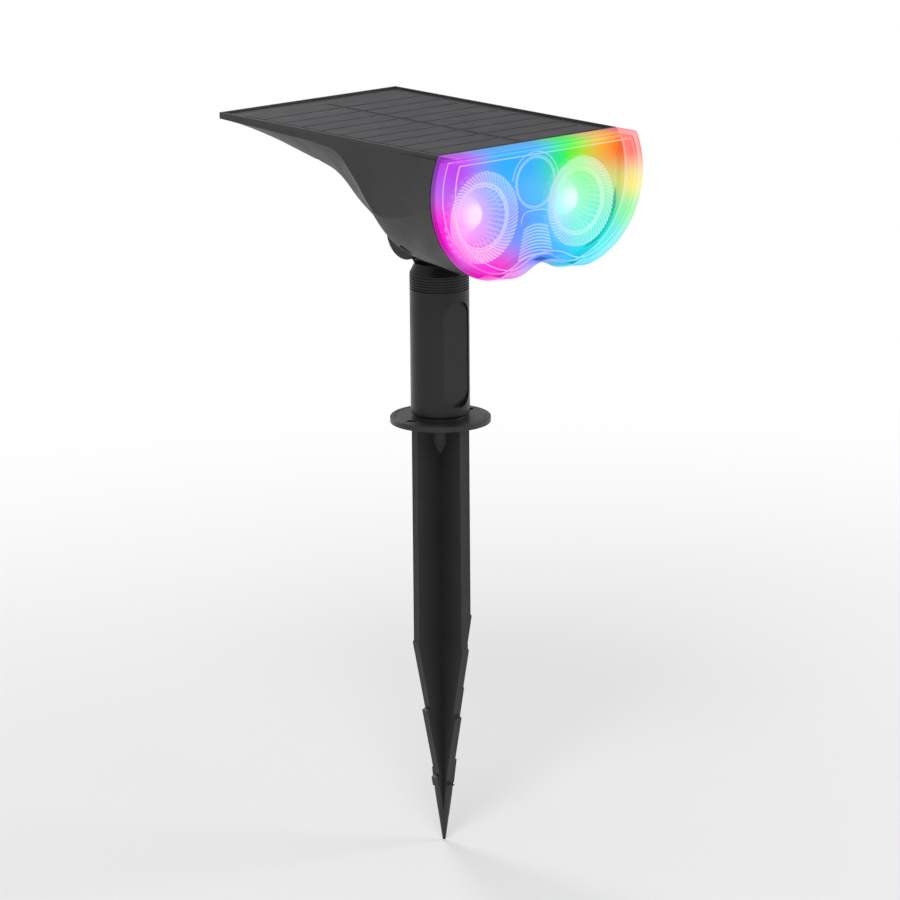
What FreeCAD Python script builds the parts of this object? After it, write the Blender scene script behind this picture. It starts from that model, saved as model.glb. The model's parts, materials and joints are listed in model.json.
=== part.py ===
import FreeCAD
import Part
import math
import os
import Sketcher
from FreeCAD import Rotation, Vector

# Solar garden spotlight on a ground stake: twin lamps behind one clear cover, solar panel on top.
# Millimetres. Origin: centre of the mounting flange's underside. +Z up, the lamps face -Y.

doc = FreeCAD.newDocument("SolarStakeLight")
sheet = doc.addObject("Spreadsheet::Sheet", "Dims")


class Size:
    """A length that knows its value and the spreadsheet formula that gives it."""

    def __init__(self, value, text):
        self.value = value
        self.text = text

    def combine(self, other, symbol, value):
        return Size(value, f"({self.text} {symbol} {other.text})")

    def __add__(self, other):
        other = as_size(other)
        return self.combine(other, "+", self.value + other.value)

    def __sub__(self, other):
        other = as_size(other)
        return self.combine(other, "-", self.value - other.value)

    def __mul__(self, other):
        other = as_size(other)
        return self.combine(other, "*", self.value * other.value)

    def __truediv__(self, other):
        other = as_size(other)
        return self.combine(other, "/", self.value / other.value)

    def __neg__(self):
        return Size(-self.value, f"(0 - {self.text})")

    def __radd__(self, other):
        return as_size(other) + self

    def __rsub__(self, other):
        return as_size(other) - self

    def __rmul__(self, other):
        return as_size(other) * self

    def __float__(self):
        return float(self.value)


def as_size(value):
    if isinstance(value, Size):
        return value
    return Size(float(value), repr(float(value)))


def dim(alias, value):
    """Store one driving dimension in the sheet and return it."""
    row = dim.row
    dim.row += 1
    sheet.set(f"A{row}", alias)
    sheet.set(f"B{row}", str(value))
    sheet.setAlias(f"B{row}", alias)
    return Size(float(value), f"Dims.{alias}")


dim.row = 1

# Fits and clearances
fit_gap = dim("fit_gap", 0.05)
slide_gap = dim("slide_gap", 0.1)
seat_gap = dim("seat_gap", 0.3)
tool_margin = 1.0

# Stake and flange
stake_length = dim("stake_length", 208.2)
fin_radius = dim("fin_radius", 16.2)
fin_thick = dim("fin_thick", 4.0)
barb_pitch = dim("barb_pitch", 35.0)
barb_step = dim("barb_step", 1.1)
barb_count = 3
tip_radius = dim("tip_radius", 0.7)
tip_height = dim("tip_height", 28.0)
hub_radius = dim("hub_radius", 6.3)
hub_length = dim("hub_length", 10.0)
hub_cone_length = dim("hub_cone_length", 7.0)
spigot_radius = dim("spigot_radius", 6.0)
spigot_height = dim("spigot_height", 16.0)
flange_radius = dim("flange_radius", 23.8)
flange_thick = dim("flange_thick", 2.8)
flange_screw_pitch = dim("flange_screw_pitch", 36.0)
flange_hole_radius = dim("flange_hole_radius", 2.2)
flange_edge = dim("flange_edge", 0.4)
flange_ring_height = dim("flange_ring_height", 1.0)
flange_ring_inset = dim("flange_ring_inset", 1.0)
socket_height = dim("socket_height", 18.0)

# Depth of each fin's first barb, staggered so that the fins bite at different levels
FIRST_BARBS = {"left": 105.0, "right": 98.0, "front": 109.0, "back": 102.0}

# Pole
pole_radius = dim("pole_radius", 14.0)
pole_wall = dim("pole_wall", 4.2)
pole_bore = pole_radius - pole_wall
pole_top = dim("pole_top", 64.2)
pole_edge = dim("pole_edge", 0.8)
grip_width = dim("grip_width", 15.4)
grip_length = dim("grip_length", 51.0)
grip_bottom = dim("grip_bottom", 8.6)
grip_depth = dim("grip_depth", 2.8)
ledge_drop = dim("ledge_drop", 12.0)
ledge_thick = dim("ledge_thick", 3.0)
ledge_bore = dim("ledge_bore", 5.0)

# Swivel neck
ring_thick = dim("ring_thick", 0.5)
collar_height = dim("collar_height", 6.8)
groove_count = 5
groove_pitch = dim("groove_pitch", 1.3)
groove_depth = dim("groove_depth", 0.6)
groove_width = dim("groove_width", 0.6)
cone_height = dim("cone_height", 5.0)
cone_inset = dim("cone_inset", 2.5)
stem_front = dim("stem_front", -8.0)
stem_back = dim("stem_back", 10.5)
washer_margin = dim("washer_margin", 1.3)
swivel_washer_thick = dim("swivel_washer_thick", 1.2)
swivel_screw_radius = dim("swivel_screw_radius", 1.5)
swivel_screw_length = dim("swivel_screw_length", 14.0)

# Tilt hinge
pivot_back = dim("pivot_back", 11.5)
lug_rise = dim("lug_rise", 13.4)
cheek_radius = dim("cheek_radius", 12.5)
cheek_teeth = 64
cheek_tooth_depth = dim("cheek_tooth_depth", 0.5)
bracket_width = dim("bracket_width", 24.0)
bracket_base_thick = dim("bracket_base_thick", 3.4)
bracket_rise = dim("bracket_rise", 14.0)
lug_width = dim("lug_width", 13.2)
lug_radius = dim("lug_radius", 10.0)
tilt_washer_radius = dim("tilt_washer_radius", 8.0)
tilt_washer_thick = dim("tilt_washer_thick", 0.3)
tilt_bolt_radius = dim("tilt_bolt_radius", 2.5)
tilt_head_radius = dim("tilt_head_radius", 4.4)
tilt_head_thick = dim("tilt_head_thick", 2.4)
tilt_nut_radius = dim("tilt_nut_radius", 4.4)
tilt_nut_thick = dim("tilt_nut_thick", 2.6)
bracket_screw_offset = dim("bracket_screw_offset", 9.7)

# Lamp head
head_rise = dim("head_rise", 51.8)
head_front = dim("head_front", 62.8)
panel_length = dim("panel_length", 157.7)
panel_width = dim("panel_width", 108.7)
shell_wall = dim("shell_wall", 2.4)
tray_thick = dim("tray_thick", 2.2)
tray_floor = dim("tray_floor", 0.6)
tray_rim = dim("tray_rim", 0.9)
backing_thick = dim("backing_thick", 0.5)
cell_thick = dim("cell_thick", 0.2)
cover_thick = dim("cover_thick", 0.8)
cell_rear_margin = dim("cell_rear_margin", 12.0)
cell_front_margin = dim("cell_front_margin", 5.0)
cell_side_margin = dim("cell_side_margin", 6.0)
cell_centre_gap = dim("cell_centre_gap", 2.2)
cell_gap = dim("cell_gap", 0.7)
cell_rows = 10

# Front outline: straight top, big side arcs, two lobes below with a shallow dip between them
side_centre_x = dim("side_centre_x", 17.0)
side_centre_drop = dim("side_centre_drop", 19.6)
lobe_radius = dim("lobe_radius", 20.0)
lobe_angle = dim("lobe_angle", 13.0)
dip_rise = dim("dip_rise", 5.7)

# Clear cover and seal
lens_depth = dim("lens_depth", 15.2)
lens_wall = dim("lens_wall", 2.2)
lens_front_wall = dim("lens_front_wall", 2.4)
lens_edge = dim("lens_edge", 2.4)
lens_lift = dim("lens_lift", 2.2)
seal_thick = dim("seal_thick", 0.8)
seal_width = dim("seal_width", 1.6)

# Lamps
lamp_spacing = dim("lamp_spacing", 58.8)
lamp_drop = dim("lamp_drop", 31.1)
bezel_radius = dim("bezel_radius", 21.1)
bezel_thick = dim("bezel_thick", 2.2)
bezel_slope = dim("bezel_slope", 1.0)
cup_mouth = dim("cup_mouth", 15.5)
cup_throat = dim("cup_throat", 6.2)
cup_depth = dim("cup_depth", 14.0)
cup_wall = dim("cup_wall", 1.2)
carrier_thick = dim("carrier_thick", 1.6)
led_board_width = dim("led_board_width", 84.0)
led_board_height = dim("led_board_height", 30.0)
board_thick = dim("board_thick", 1.6)
led_base_size = dim("led_base_size", 5.4)
led_base_thick = dim("led_base_thick", 1.2)
led_dome_radius = dim("led_dome_radius", 2.2)
standoff_radius = dim("standoff_radius", 3.0)
standoff_offset = dim("standoff_offset", 11.0)

# Battery, control board, switch
battery_radius = dim("battery_radius", 9.25)
battery_length = dim("battery_length", 65.0)
battery_tip = dim("battery_tip", 1.2)
battery_back = dim("battery_back", -22.0)
battery_lift = dim("battery_lift", 14.8)
contact_thick = dim("contact_thick", 0.8)
contact_size = dim("contact_size", 12.0)
rib_thick = dim("rib_thick", 2.4)
control_board_width = dim("control_board_width", 56.0)
control_board_length = dim("control_board_length", 40.0)
control_board_front = dim("control_board_front", 19.0)
control_board_lift = dim("control_board_lift", 5.8)
column_radius = dim("column_radius", 4.6)
boss_radius = dim("boss_radius", 3.6)
boss_height = dim("boss_height", 6.0)
column_seat = dim("column_seat", 4.0)
seat_block_rise = dim("seat_block_rise", 7.0)
seat_screw_depth = dim("seat_screw_depth", 6.0)
carrier_post_radius = dim("carrier_post_radius", 3.6)
post_radius = dim("post_radius", 3.2)
screw_radius = dim("screw_radius", 1.4)
screw_head_radius = dim("screw_head_radius", 2.7)
screw_head_thick = dim("screw_head_thick", 2.0)
screw_length = dim("screw_length", 9.0)
led_screw_length = dim("led_screw_length", 7.0)
carrier_screw_length = dim("carrier_screw_length", 8.0)
board_screw_length = dim("board_screw_length", 6.5)
cover_screw_front = dim("cover_screw_front", 33.0)
cover_screw_front_inset = dim("cover_screw_front_inset", 9.0)
cover_screw_back = dim("cover_screw_back", 100.0)
cover_screw_back_inset = dim("cover_screw_back_inset", 15.0)
board_post_inset = dim("board_post_inset", 4.0)
button_radius = dim("button_radius", 5.0)
button_travel = dim("button_travel", 1.2)
button_proud = dim("button_proud", 1.8)
button_back = dim("button_back", 37.0)
button_angle = dim("button_angle", 26.0)
button_flange = dim("button_flange", 1.6)
well_radius = dim("well_radius", 8.2)
well_wall = dim("well_wall", 2.0)
well_depth = dim("well_depth", 9.0)
switch_size = dim("switch_size", 6.0)
lead_radius = dim("lead_radius", 0.8)

doc.recompute()

# Places worked out from the dimensions
front_face = -head_front
pole_bottom = flange_thick + flange_ring_height
collar_bottom = pole_top + ring_thick + fit_gap * 2
collar_top = collar_bottom + collar_height
neck_top = collar_top + cone_height
pivot_height = neck_top + lug_rise
head_top = pivot_height + head_rise
lamp_side = lamp_spacing / 2
lamp_height = head_top - lamp_drop
bracket_top = pivot_height + bracket_rise
bracket_front = pivot_back - cheek_radius
tray_bottom = head_top - tray_thick
carrier_front = front_face + seat_gap
carrier_back = carrier_front + carrier_thick
bezel_back = carrier_front
bezel_front = bezel_back - bezel_thick
led_board_front = bezel_front + bezel_slope + cup_depth


# ---------------------------------------------------------------- building helpers

ROLES = {"XY": "XY_Plane", "XZ": "XZ_Plane", "YZ": "YZ_Plane"}
ALONG = {"Z": Rotation(), "X": Rotation(Vector(0, 1, 0), 90), "Y": Rotation(Vector(1, 0, 0), -90)}


def bind(obj, name, size):
    """Tie one property of an object to the sheet."""
    obj.setExpression(name, as_size(size).text)


def place(obj, x=0, y=0, z=0, rotation=None):
    obj.Placement = FreeCAD.Placement(Vector(float(x), float(y), float(z)), rotation or Rotation())
    bind(obj, "Placement.Base.x", x)
    bind(obj, "Placement.Base.y", y)
    bind(obj, "Placement.Base.z", z)
    return obj


def cylinder(name, radius, height, x=0, y=0, z=0, along="Z"):
    obj = doc.addObject("Part::Cylinder", name)
    bind(obj, "Radius", radius)
    bind(obj, "Height", height)
    return place(obj, x, y, z, ALONG[along])


def cone(name, radius_start, radius_end, height, x=0, y=0, z=0, along="Z"):
    obj = doc.addObject("Part::Cone", name)
    bind(obj, "Radius1", radius_start)
    bind(obj, "Radius2", radius_end)
    bind(obj, "Height", height)
    return place(obj, x, y, z, ALONG[along])


def box(name, width, depth, height, x, y, z):
    """A box centred on x, with its low y and low z faces at y and z."""
    obj = doc.addObject("Part::Box", name)
    bind(obj, "Length", width)
    bind(obj, "Width", depth)
    bind(obj, "Height", height)
    return place(obj, as_size(x) - as_size(width) / 2, y, z)


def hexagon(name, radius, height, x, y, z, along):
    obj = doc.addObject("Part::Prism", name)
    bind(obj, "Circumradius", radius)
    bind(obj, "Height", height)
    return place(obj, x, y, z, ALONG[along])


def fuse(name, *pieces):
    obj = doc.addObject("Part::MultiFuse", name)
    obj.Shapes = list(pieces)
    return obj


def cut(name, base, *tools):
    """Base less the tools."""
    for index, tool in enumerate(tools):
        obj = doc.addObject("Part::Cut", name if index == len(tools) - 1 else f"{name}_step_{index}")
        obj.Base = base
        obj.Tool = tool
        base = obj
    return base


def group(name, *pieces):
    obj = doc.addObject("Part::Compound", name)
    obj.Links = list(pieces)
    return obj


def solid(name, shape):
    """A sub-part or a tool shaped by Part's own functions."""
    obj = doc.addObject("Part::Feature", name)
    obj.Shape = shape
    obj.Placement = FreeCAD.Placement()
    return obj


def new_body(name):
    return doc.addObject("PartDesign::Body", name)


def new_sketch(body, name, plane, offset=0):
    sketch = body.newObject("Sketcher::SketchObject", name)
    support = [feature for feature in body.Origin.OriginFeatures if feature.Role == ROLES[plane]]
    sketch.AttachmentSupport = [(support[0], "")]
    sketch.MapMode = "FlatFace"
    bind(sketch, "AttachmentOffset.Base.z", offset)
    return sketch


def pin_point(sketch, geometry, end, x, y):
    """Hold one point of a sketch at a place given by the sheet."""
    for kind, size in (("DistanceX", as_size(x)), ("DistanceY", as_size(y))):
        index = sketch.addConstraint(Sketcher.Constraint(kind, -1, 1, geometry, end, size.value))
        bind(sketch, f"Constraints[{index}]", size)


def draw_circle(sketch, radius, x=0, y=0):
    centre = Vector(float(x), float(y), 0)
    index = sketch.addGeometry(Part.Circle(centre, Vector(0, 0, 1), float(radius)), False)
    constraint = sketch.addConstraint(Sketcher.Constraint("Radius", index, float(radius)))
    bind(sketch, f"Constraints[{constraint}]", radius)
    pin_point(sketch, index, 3, x, y)


def draw_outline(sketch, points):
    """A closed outline of straight edges through the given points."""
    first = sketch.GeometryCount
    count = len(points)
    for index, (x, y) in enumerate(points):
        x_next, y_next = points[(index + 1) % count]
        start = Vector(float(x), float(y), 0)
        end = Vector(float(x_next), float(y_next), 0)
        sketch.addGeometry(Part.LineSegment(start, end), False)
    for index in range(count):
        following = first + (index + 1) % count
        sketch.addConstraint(Sketcher.Constraint("Coincident", first + index, 2, following, 1))
    for index, (x, y) in enumerate(points):
        pin_point(sketch, first + index, 1, x, y)


def pad(body, sketch, name, length, symmetric=False, reverse=False):
    feature = body.newObject("PartDesign::Pad", name)
    feature.Profile = sketch
    bind(feature, "Length", length)
    feature.SideType = "Symmetric" if symmetric else "One side"
    feature.Reversed = reverse
    return feature


def pocket(body, sketch, name, length, symmetric=False, reverse=False):
    feature = body.newObject("PartDesign::Pocket", name)
    feature.Profile = sketch
    bind(feature, "Length", length)
    feature.SideType = "Symmetric" if symmetric else "One side"
    feature.Reversed = reverse
    return feature


def revolve(body, name, points, kind="PartDesign::Revolution"):
    """Turn an outline of (radius, height) points about the body's Z axis."""
    sketch = new_sketch(body, f"{name}_sketch", "XZ")
    draw_outline(sketch, points)
    feature = body.newObject(kind, name)
    feature.Profile = sketch
    feature.ReferenceAxis = (sketch, ["V_Axis"])
    feature.Angle = 360
    return feature


# ---------------------------------------------------------------- stake, flange and pole

def make_ground_stake():
    """Four barbed fins crossed on a round hub, with a spigot that plugs into the flange."""
    body = new_body("ground_stake")
    hub_bottom = -(hub_length + hub_cone_length)
    core = fin_thick * 0.45
    revolve(body, "hub", [(0, spigot_height), (spigot_radius, spigot_height), (spigot_radius, 0),
                          (hub_radius, 0), (hub_radius, -hub_length), (core, hub_bottom), (0, hub_bottom)])
    for side, first_barb in FIRST_BARBS.items():
        sketch = new_sketch(body, f"fin_{side}", "XZ" if side in ("left", "right") else "YZ")
        sign = -1 if side in ("left", "front") else 1
        draw_outline(sketch, fin_points(sign, first_barb))
        pad(body, sketch, f"{side}_fin", fin_thick, symmetric=True)
    tip = -stake_length
    reach = fin_radius * 1.2
    below = tip - tool_margin
    revolve(body, "point", [(tip_radius, tip), (fin_thick * 1.2, tip + tip_height),
                            (reach, tip + tip_height), (reach, below), (tip_radius, below)],
            "PartDesign::Groove")
    return body


def fin_points(sign, first_barb):
    """Half of a fin: straight to the first barb, then tapering to the tip with a step at each barb."""
    taper = stake_length - first_barb
    points = [(0, 0), (fin_radius * sign, 0), (fin_radius * sign, -first_barb)]
    for barb in range(barb_count):
        depth = first_barb + barb_pitch * barb
        width = fin_radius * (stake_length - depth) / taper
        if barb > 0:
            points.append(((width - barb_step) * sign, -depth))
        points.append(((width + barb_step * 0.7) * sign, -(depth + barb_step * 0.7)))
    points.append((tip_radius * 0.4 * sign, -stake_length))
    points.append((0, -stake_length))
    return points


def make_mounting_flange():
    """Flat disc with two screw holes and a socket tube that plugs into the pole."""
    body = new_body("mounting_flange")
    bore = spigot_radius + fit_gap
    ring = pole_radius - flange_ring_inset
    tube = pole_bore - fit_gap
    socket_top = pole_bottom + socket_height
    rim = flange_radius * 0.92
    edge = flange_edge
    revolve(body, "disc", [(bore, 0), (flange_radius, 0), (flange_radius, flange_thick - edge),
                           (flange_radius - edge, flange_thick), (rim, flange_thick),
                           (rim - edge, flange_thick - edge), (rim - edge * 2, flange_thick),
                           (ring, flange_thick), (ring, pole_bottom), (tube, pole_bottom),
                           (tube, socket_top), (bore, socket_top)])
    holes = new_sketch(body, "screw_holes", "XY")
    for sign in (-1, 1):
        draw_circle(holes, flange_hole_radius, flange_screw_pitch / 2 * sign, 0)
    pocket(body, holes, "screw_hole_cut", flange_thick * 2, symmetric=True)
    return body


def make_pole():
    """Hollow pole with a ledge for the swivel and a flat-floored grip recess in front."""
    body = new_body("pole")
    ledge_top = pole_top - ledge_drop
    ledge_bottom = ledge_top - ledge_thick
    revolve(body, "tube", [(pole_bore, pole_bottom), (pole_radius - pole_edge, pole_bottom),
                           (pole_radius, pole_bottom + pole_edge), (pole_radius, pole_top),
                           (pole_bore, pole_top), (pole_bore, ledge_top), (ledge_bore, ledge_top),
                           (ledge_bore, ledge_bottom), (pole_bore, ledge_bottom)])
    sketch = new_sketch(body, "grip_outline", "XZ", pole_radius - grip_depth)
    radius = grip_width / 2
    low = grip_bottom + radius
    high = grip_bottom + grip_length - radius
    draw_capsule(sketch, radius, low, high)
    pocket(body, sketch, "grip_recess", pole_radius, reverse=True)
    return body


def draw_capsule(sketch, radius, low, high):
    """Upright slot outline: two straight sides joined by half circles."""
    side = float(radius)
    for centre, start in ((float(high), 0.0), (float(low), math.pi)):
        circle = Part.Circle(Vector(0, centre, 0), Vector(0, 0, 1), side)
        sketch.addGeometry(Part.ArcOfCircle(circle, start, start + math.pi), False)
    sketch.addGeometry(Part.LineSegment(Vector(-side, float(high), 0), Vector(-side, float(low), 0)), False)
    sketch.addGeometry(Part.LineSegment(Vector(side, float(low), 0), Vector(side, float(high), 0)), False)
    for arc, end, line, start in ((0, 2, 2, 1), (2, 2, 1, 1), (1, 2, 3, 1), (3, 2, 0, 1)):
        sketch.addConstraint(Sketcher.Constraint("Coincident", arc, end, line, start))
    for arc, height in ((0, high), (1, low)):
        pin_point(sketch, arc, 3, 0, height)
        radial = sketch.addConstraint(Sketcher.Constraint("Radius", arc, side))
        bind(sketch, f"Constraints[{radial}]", radius)
        for end in (1, 2):
            level = sketch.addConstraint(Sketcher.Constraint("DistanceY", -1, 1, arc, end, float(height)))
            bind(sketch, f"Constraints[{level}]", height)


def make_swivel_ring():
    """Thin friction ring between the pole's top and the collar."""
    ring_bottom = pole_top + fit_gap
    outer = cylinder("ring_outer", pole_radius - flange_ring_inset, ring_thick, z=ring_bottom)
    inner = cylinder("ring_inner", pole_bore + seat_gap, ring_thick * 3, z=ring_bottom - ring_thick)
    return cut("swivel_ring", outer, inner)


# ---------------------------------------------------------------- swivel neck

def make_swivel_neck():
    """Grooved collar, cone and hinge lug in one moulding, turning on a plug inside the pole."""
    body = new_body("swivel_neck")
    ledge_top = pole_top - ledge_drop
    plug_radius = pole_bore - fit_gap
    plug_bottom = ledge_top + slide_gap
    nose_radius = ledge_bore - fit_gap
    nose_bottom = ledge_top - ledge_thick - slide_gap
    revolve(body, "collar", [(0, nose_bottom), (nose_radius, nose_bottom), (nose_radius, plug_bottom),
                             (plug_radius, plug_bottom), (plug_radius, collar_bottom),
                             (pole_radius, collar_bottom), (pole_radius, collar_top),
                             (pole_radius - cone_inset, neck_top), (0, neck_top)])
    for index in range(groove_count):
        low = collar_bottom + groove_pitch * index + groove_width
        floor = pole_radius - groove_depth
        outside = pole_radius + tool_margin
        revolve(body, f"groove_{index}", [(floor, low), (outside, low), (outside, low + groove_width),
                                          (floor, low + groove_width)], "PartDesign::Groove")
    stem = new_sketch(body, "stem_outline", "YZ")
    draw_outline(stem, [(stem_front, neck_top - tool_margin), (stem_back, neck_top - tool_margin),
                        (pivot_back + lug_radius * 0.92, pivot_height - lug_radius * 0.35),
                        (pivot_back - lug_radius * 0.8, pivot_height + lug_radius * 0.55)])
    pad(body, stem, "stem", lug_width, symmetric=True)
    lug = new_sketch(body, "lug_outline", "YZ")
    draw_circle(lug, lug_radius, pivot_back, pivot_height)
    pad(body, lug, "lug", lug_width, symmetric=True)
    hole = new_sketch(body, "pivot_outline", "YZ")
    draw_circle(hole, tilt_bolt_radius + fit_gap, pivot_back, pivot_height)
    pocket(body, hole, "pivot_bore", lug_width * 2, symmetric=True)
    pilot = new_sketch(body, "pilot_outline", "XY", nose_bottom)
    draw_circle(pilot, swivel_screw_radius + fit_gap)
    pocket(body, pilot, "pilot_bore", swivel_screw_length, reverse=True)
    return body


def make_swivel_washer():
    nose_bottom = pole_top - ledge_drop - ledge_thick - slide_gap
    low = nose_bottom - swivel_washer_thick
    disc = cylinder("swivel_washer_disc", pole_bore - washer_margin, swivel_washer_thick, z=low)
    hole = cylinder("swivel_washer_hole", swivel_screw_radius + fit_gap, swivel_washer_thick * 3,
                    z=low - swivel_washer_thick)
    return cut("swivel_washer", disc, hole)


def make_swivel_screw():
    """Pan-head screw that holds the neck down through the washer."""
    nose_bottom = pole_top - ledge_drop - ledge_thick - slide_gap
    seat = nose_bottom - swivel_washer_thick
    return screw("swivel_screw", 0, 0, seat, swivel_screw_radius,
                 swivel_screw_length - tool_margin, "up")


SLOT_DEPTH = 0.6


def screw(name, x, y, seat, radius, length, way, head=None, head_thick=None):
    """Upright pan-head screw: its head's underside is at seat and its shank runs up or down from it."""
    head = head or radius * 2
    head_thick = head_thick or radius * 1.4
    shank_low = seat if way == "up" else seat - length
    head_low = seat - head_thick if way == "up" else seat
    shank = cylinder(f"{name}_shank", radius, length, x, y, shank_low)
    cap = cylinder(f"{name}_head", head, head_thick, x, y, head_low)
    slot_low = head_low - tool_margin if way == "up" else head_low + head_thick - SLOT_DEPTH
    slot = box(f"{name}_slot", head * 1.3, head * 0.3, tool_margin + SLOT_DEPTH, x,
               as_size(y) - head * 0.15, slot_low)
    return cut(name, fuse(f"{name}_body", shank, cap), slot)


# ---------------------------------------------------------------- tilt hinge

def make_tilt_bracket():
    """Fork of two toothed cheeks under a base plate, screwed to the housing's seat."""
    teeth = []
    centre = (pivot_back.value, pivot_height.value)
    for index in range(cheek_teeth * 2):
        angle = math.pi * index / cheek_teeth
        radius = cheek_radius.value - (cheek_tooth_depth.value if index % 2 else 0.0)
        teeth.append(Vector(-bracket_width.value / 2, centre[0] + radius * math.cos(angle),
                            centre[1] + radius * math.sin(angle)))
    outline = Part.makePolygon(teeth + [teeth[0]])
    disc = solid("cheek_disc", Part.Face(outline).extrude(Vector(bracket_width.value, 0, 0)))
    block_depth = cheek_radius * 2
    block = box("bracket_block", bracket_width, block_depth, bracket_rise, 0, bracket_front, pivot_height)
    slot_width = lug_width + (tilt_washer_thick + fit_gap * 2) * 2
    slot = box("bracket_slot", slot_width, block_depth * 2, bracket_rise * 3, 0,
               bracket_front - cheek_radius, bracket_top - bracket_base_thick - bracket_rise * 3)
    bore = cylinder("bracket_bore", tilt_bolt_radius + fit_gap, bracket_width * 2,
                    -bracket_width, pivot_back, pivot_height, "X")
    head_room = cylinder("bracket_head_room", tilt_head_radius + slide_gap, tilt_head_thick + slide_gap,
                         -(bracket_width / 2), pivot_back, pivot_height, "X")
    nut_room = hexagon("bracket_nut_room", tilt_nut_radius + slide_gap, tilt_nut_thick,
                       bracket_width / 2 - tilt_nut_thick, pivot_back, pivot_height, "X")
    holes = []
    for label, sign in (("front", -1), ("back", 1)):
        holes.append(cylinder(f"bracket_hole_{label}", screw_radius + fit_gap, bracket_rise * 2, 0,
                              pivot_back + bracket_screw_offset * sign, bracket_top - bracket_rise))
    return cut("tilt_bracket", fuse("bracket_solid", disc, block), slot, bore, head_room, nut_room, *holes)


def make_tilt_bolt():
    """Pivot bolt along X, its head sunk in the left cheek."""
    left = -(bracket_width / 2)
    length = bracket_width - tilt_head_thick
    shank = cylinder("tilt_shank", tilt_bolt_radius, length, left + tilt_head_thick, pivot_back,
                     pivot_height, "X")
    head = cylinder("tilt_head", tilt_head_radius, tilt_head_thick, left, pivot_back, pivot_height, "X")
    drive = hexagon("tilt_drive", tilt_bolt_radius * 0.7, tilt_head_thick * 0.6, left, pivot_back,
                    pivot_height, "X")
    return cut("tilt_bolt", fuse("tilt_bolt_solid", shank, head), drive)


def make_tilt_nut():
    start = bracket_width / 2 - tilt_nut_thick
    nut = hexagon("tilt_nut_hex", tilt_nut_radius, tilt_nut_thick - fit_gap, start + fit_gap, pivot_back,
                  pivot_height, "X")
    hole = cylinder("tilt_nut_hole", tilt_bolt_radius + fit_gap, tilt_nut_thick * 3,
                    start - tilt_nut_thick, pivot_back, pivot_height, "X")
    return cut("tilt_nut", nut, hole)


def make_tilt_washers():
    """Two thin friction washers, one each side of the lug."""
    washers = []
    for label, start in (("left", -(lug_width / 2 + fit_gap + tilt_washer_thick)),
                         ("right", lug_width / 2 + fit_gap)):
        disc = cylinder(f"washer_disc_{label}", tilt_washer_radius, tilt_washer_thick, start, pivot_back,
                        pivot_height, "X")
        hole = cylinder(f"washer_hole_{label}", tilt_bolt_radius + fit_gap, lug_width,
                        start - lug_width / 2, pivot_back, pivot_height, "X")
        washers.append(cut(f"washer_{label}", disc, hole))
    return group("tilt_washers", *washers)


def make_bracket_screws():
    screws = []
    for label, sign in (("front", -1), ("back", 1)):
        screws.append(screw(f"bracket_screw_{label}", 0, pivot_back + bracket_screw_offset * sign,
                            bracket_top - bracket_base_thick, screw_radius, screw_length, "up",
                            screw_head_radius, screw_head_thick))
    return group("bracket_screws", *screws)


# ---------------------------------------------------------------- front outline and shell sections

class FaceOutline:
    """The lamp head's front outline, or the same outline set in all round and lifted below."""

    def __init__(self, inset=0.0, top_drop=None, lift=0.0):
        half_width = panel_width.value / 2
        centre_x = side_centre_x.value
        centre_drop = side_centre_drop.value - lift
        full_radius = math.hypot(half_width - centre_x, centre_drop)
        angle = math.radians(lobe_angle.value)
        lobe_x = centre_x + (full_radius - lobe_radius.value) * math.sin(angle)
        lobe_drop = centre_drop + (full_radius - lobe_radius.value) * math.cos(angle)
        self.depth = lobe_drop + lobe_radius.value
        rise = lobe_radius.value - dip_rise.value
        dip_radius = (lobe_x ** 2 + rise ** 2 - lobe_radius.value ** 2) / (2 * dip_rise.value)
        dip_drop = self.depth - dip_rise.value
        radius = full_radius - inset
        self.top_drop = inset if top_drop is None else top_drop
        self.side = (centre_x, centre_drop, radius)
        self.lobe = (lobe_x, lobe_drop, lobe_radius.value - inset)
        self.dip = (0.0, dip_drop + dip_radius, dip_radius + inset)
        ridge_drop = centre_drop * 1.25
        self.corner = (self.side_x(self.top_drop), self.top_drop)
        self.ridge = (self.side_x(ridge_drop), ridge_drop)
        self.shoulder = (centre_x + radius * math.sin(angle), centre_drop + radius * math.cos(angle))
        span = math.hypot(lobe_x, self.dip[1] - lobe_drop)
        share = self.lobe[2] / span
        self.keel = (lobe_x * (1 - share), lobe_drop + (self.dip[1] - lobe_drop) * share)
        self.centre = (0.0, dip_drop - inset)

    def side_x(self, drop):
        centre_x, centre_drop, radius = self.side
        return centre_x + math.sqrt(radius ** 2 - (centre_drop - drop) ** 2)


def face_point(x, drop, y):
    return Vector(x, y, head_top.value - drop)


def arc_between(circle, start, end, y, mirror):
    """Arc from start to end on a circle (x, drop, radius) of the front outline, or its mirror image."""
    angles = [math.atan2(point[1] - circle[1], point[0] - circle[0]) for point in (start, end)]
    middle = sum(angles) / 2
    halfway = (circle[0] + circle[2] * math.cos(middle), circle[1] + circle[2] * math.sin(middle))
    points = [face_point(x * mirror, drop, y) for x, drop in (start, halfway, end)]
    return Part.Arc(*points).toShape()


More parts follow.
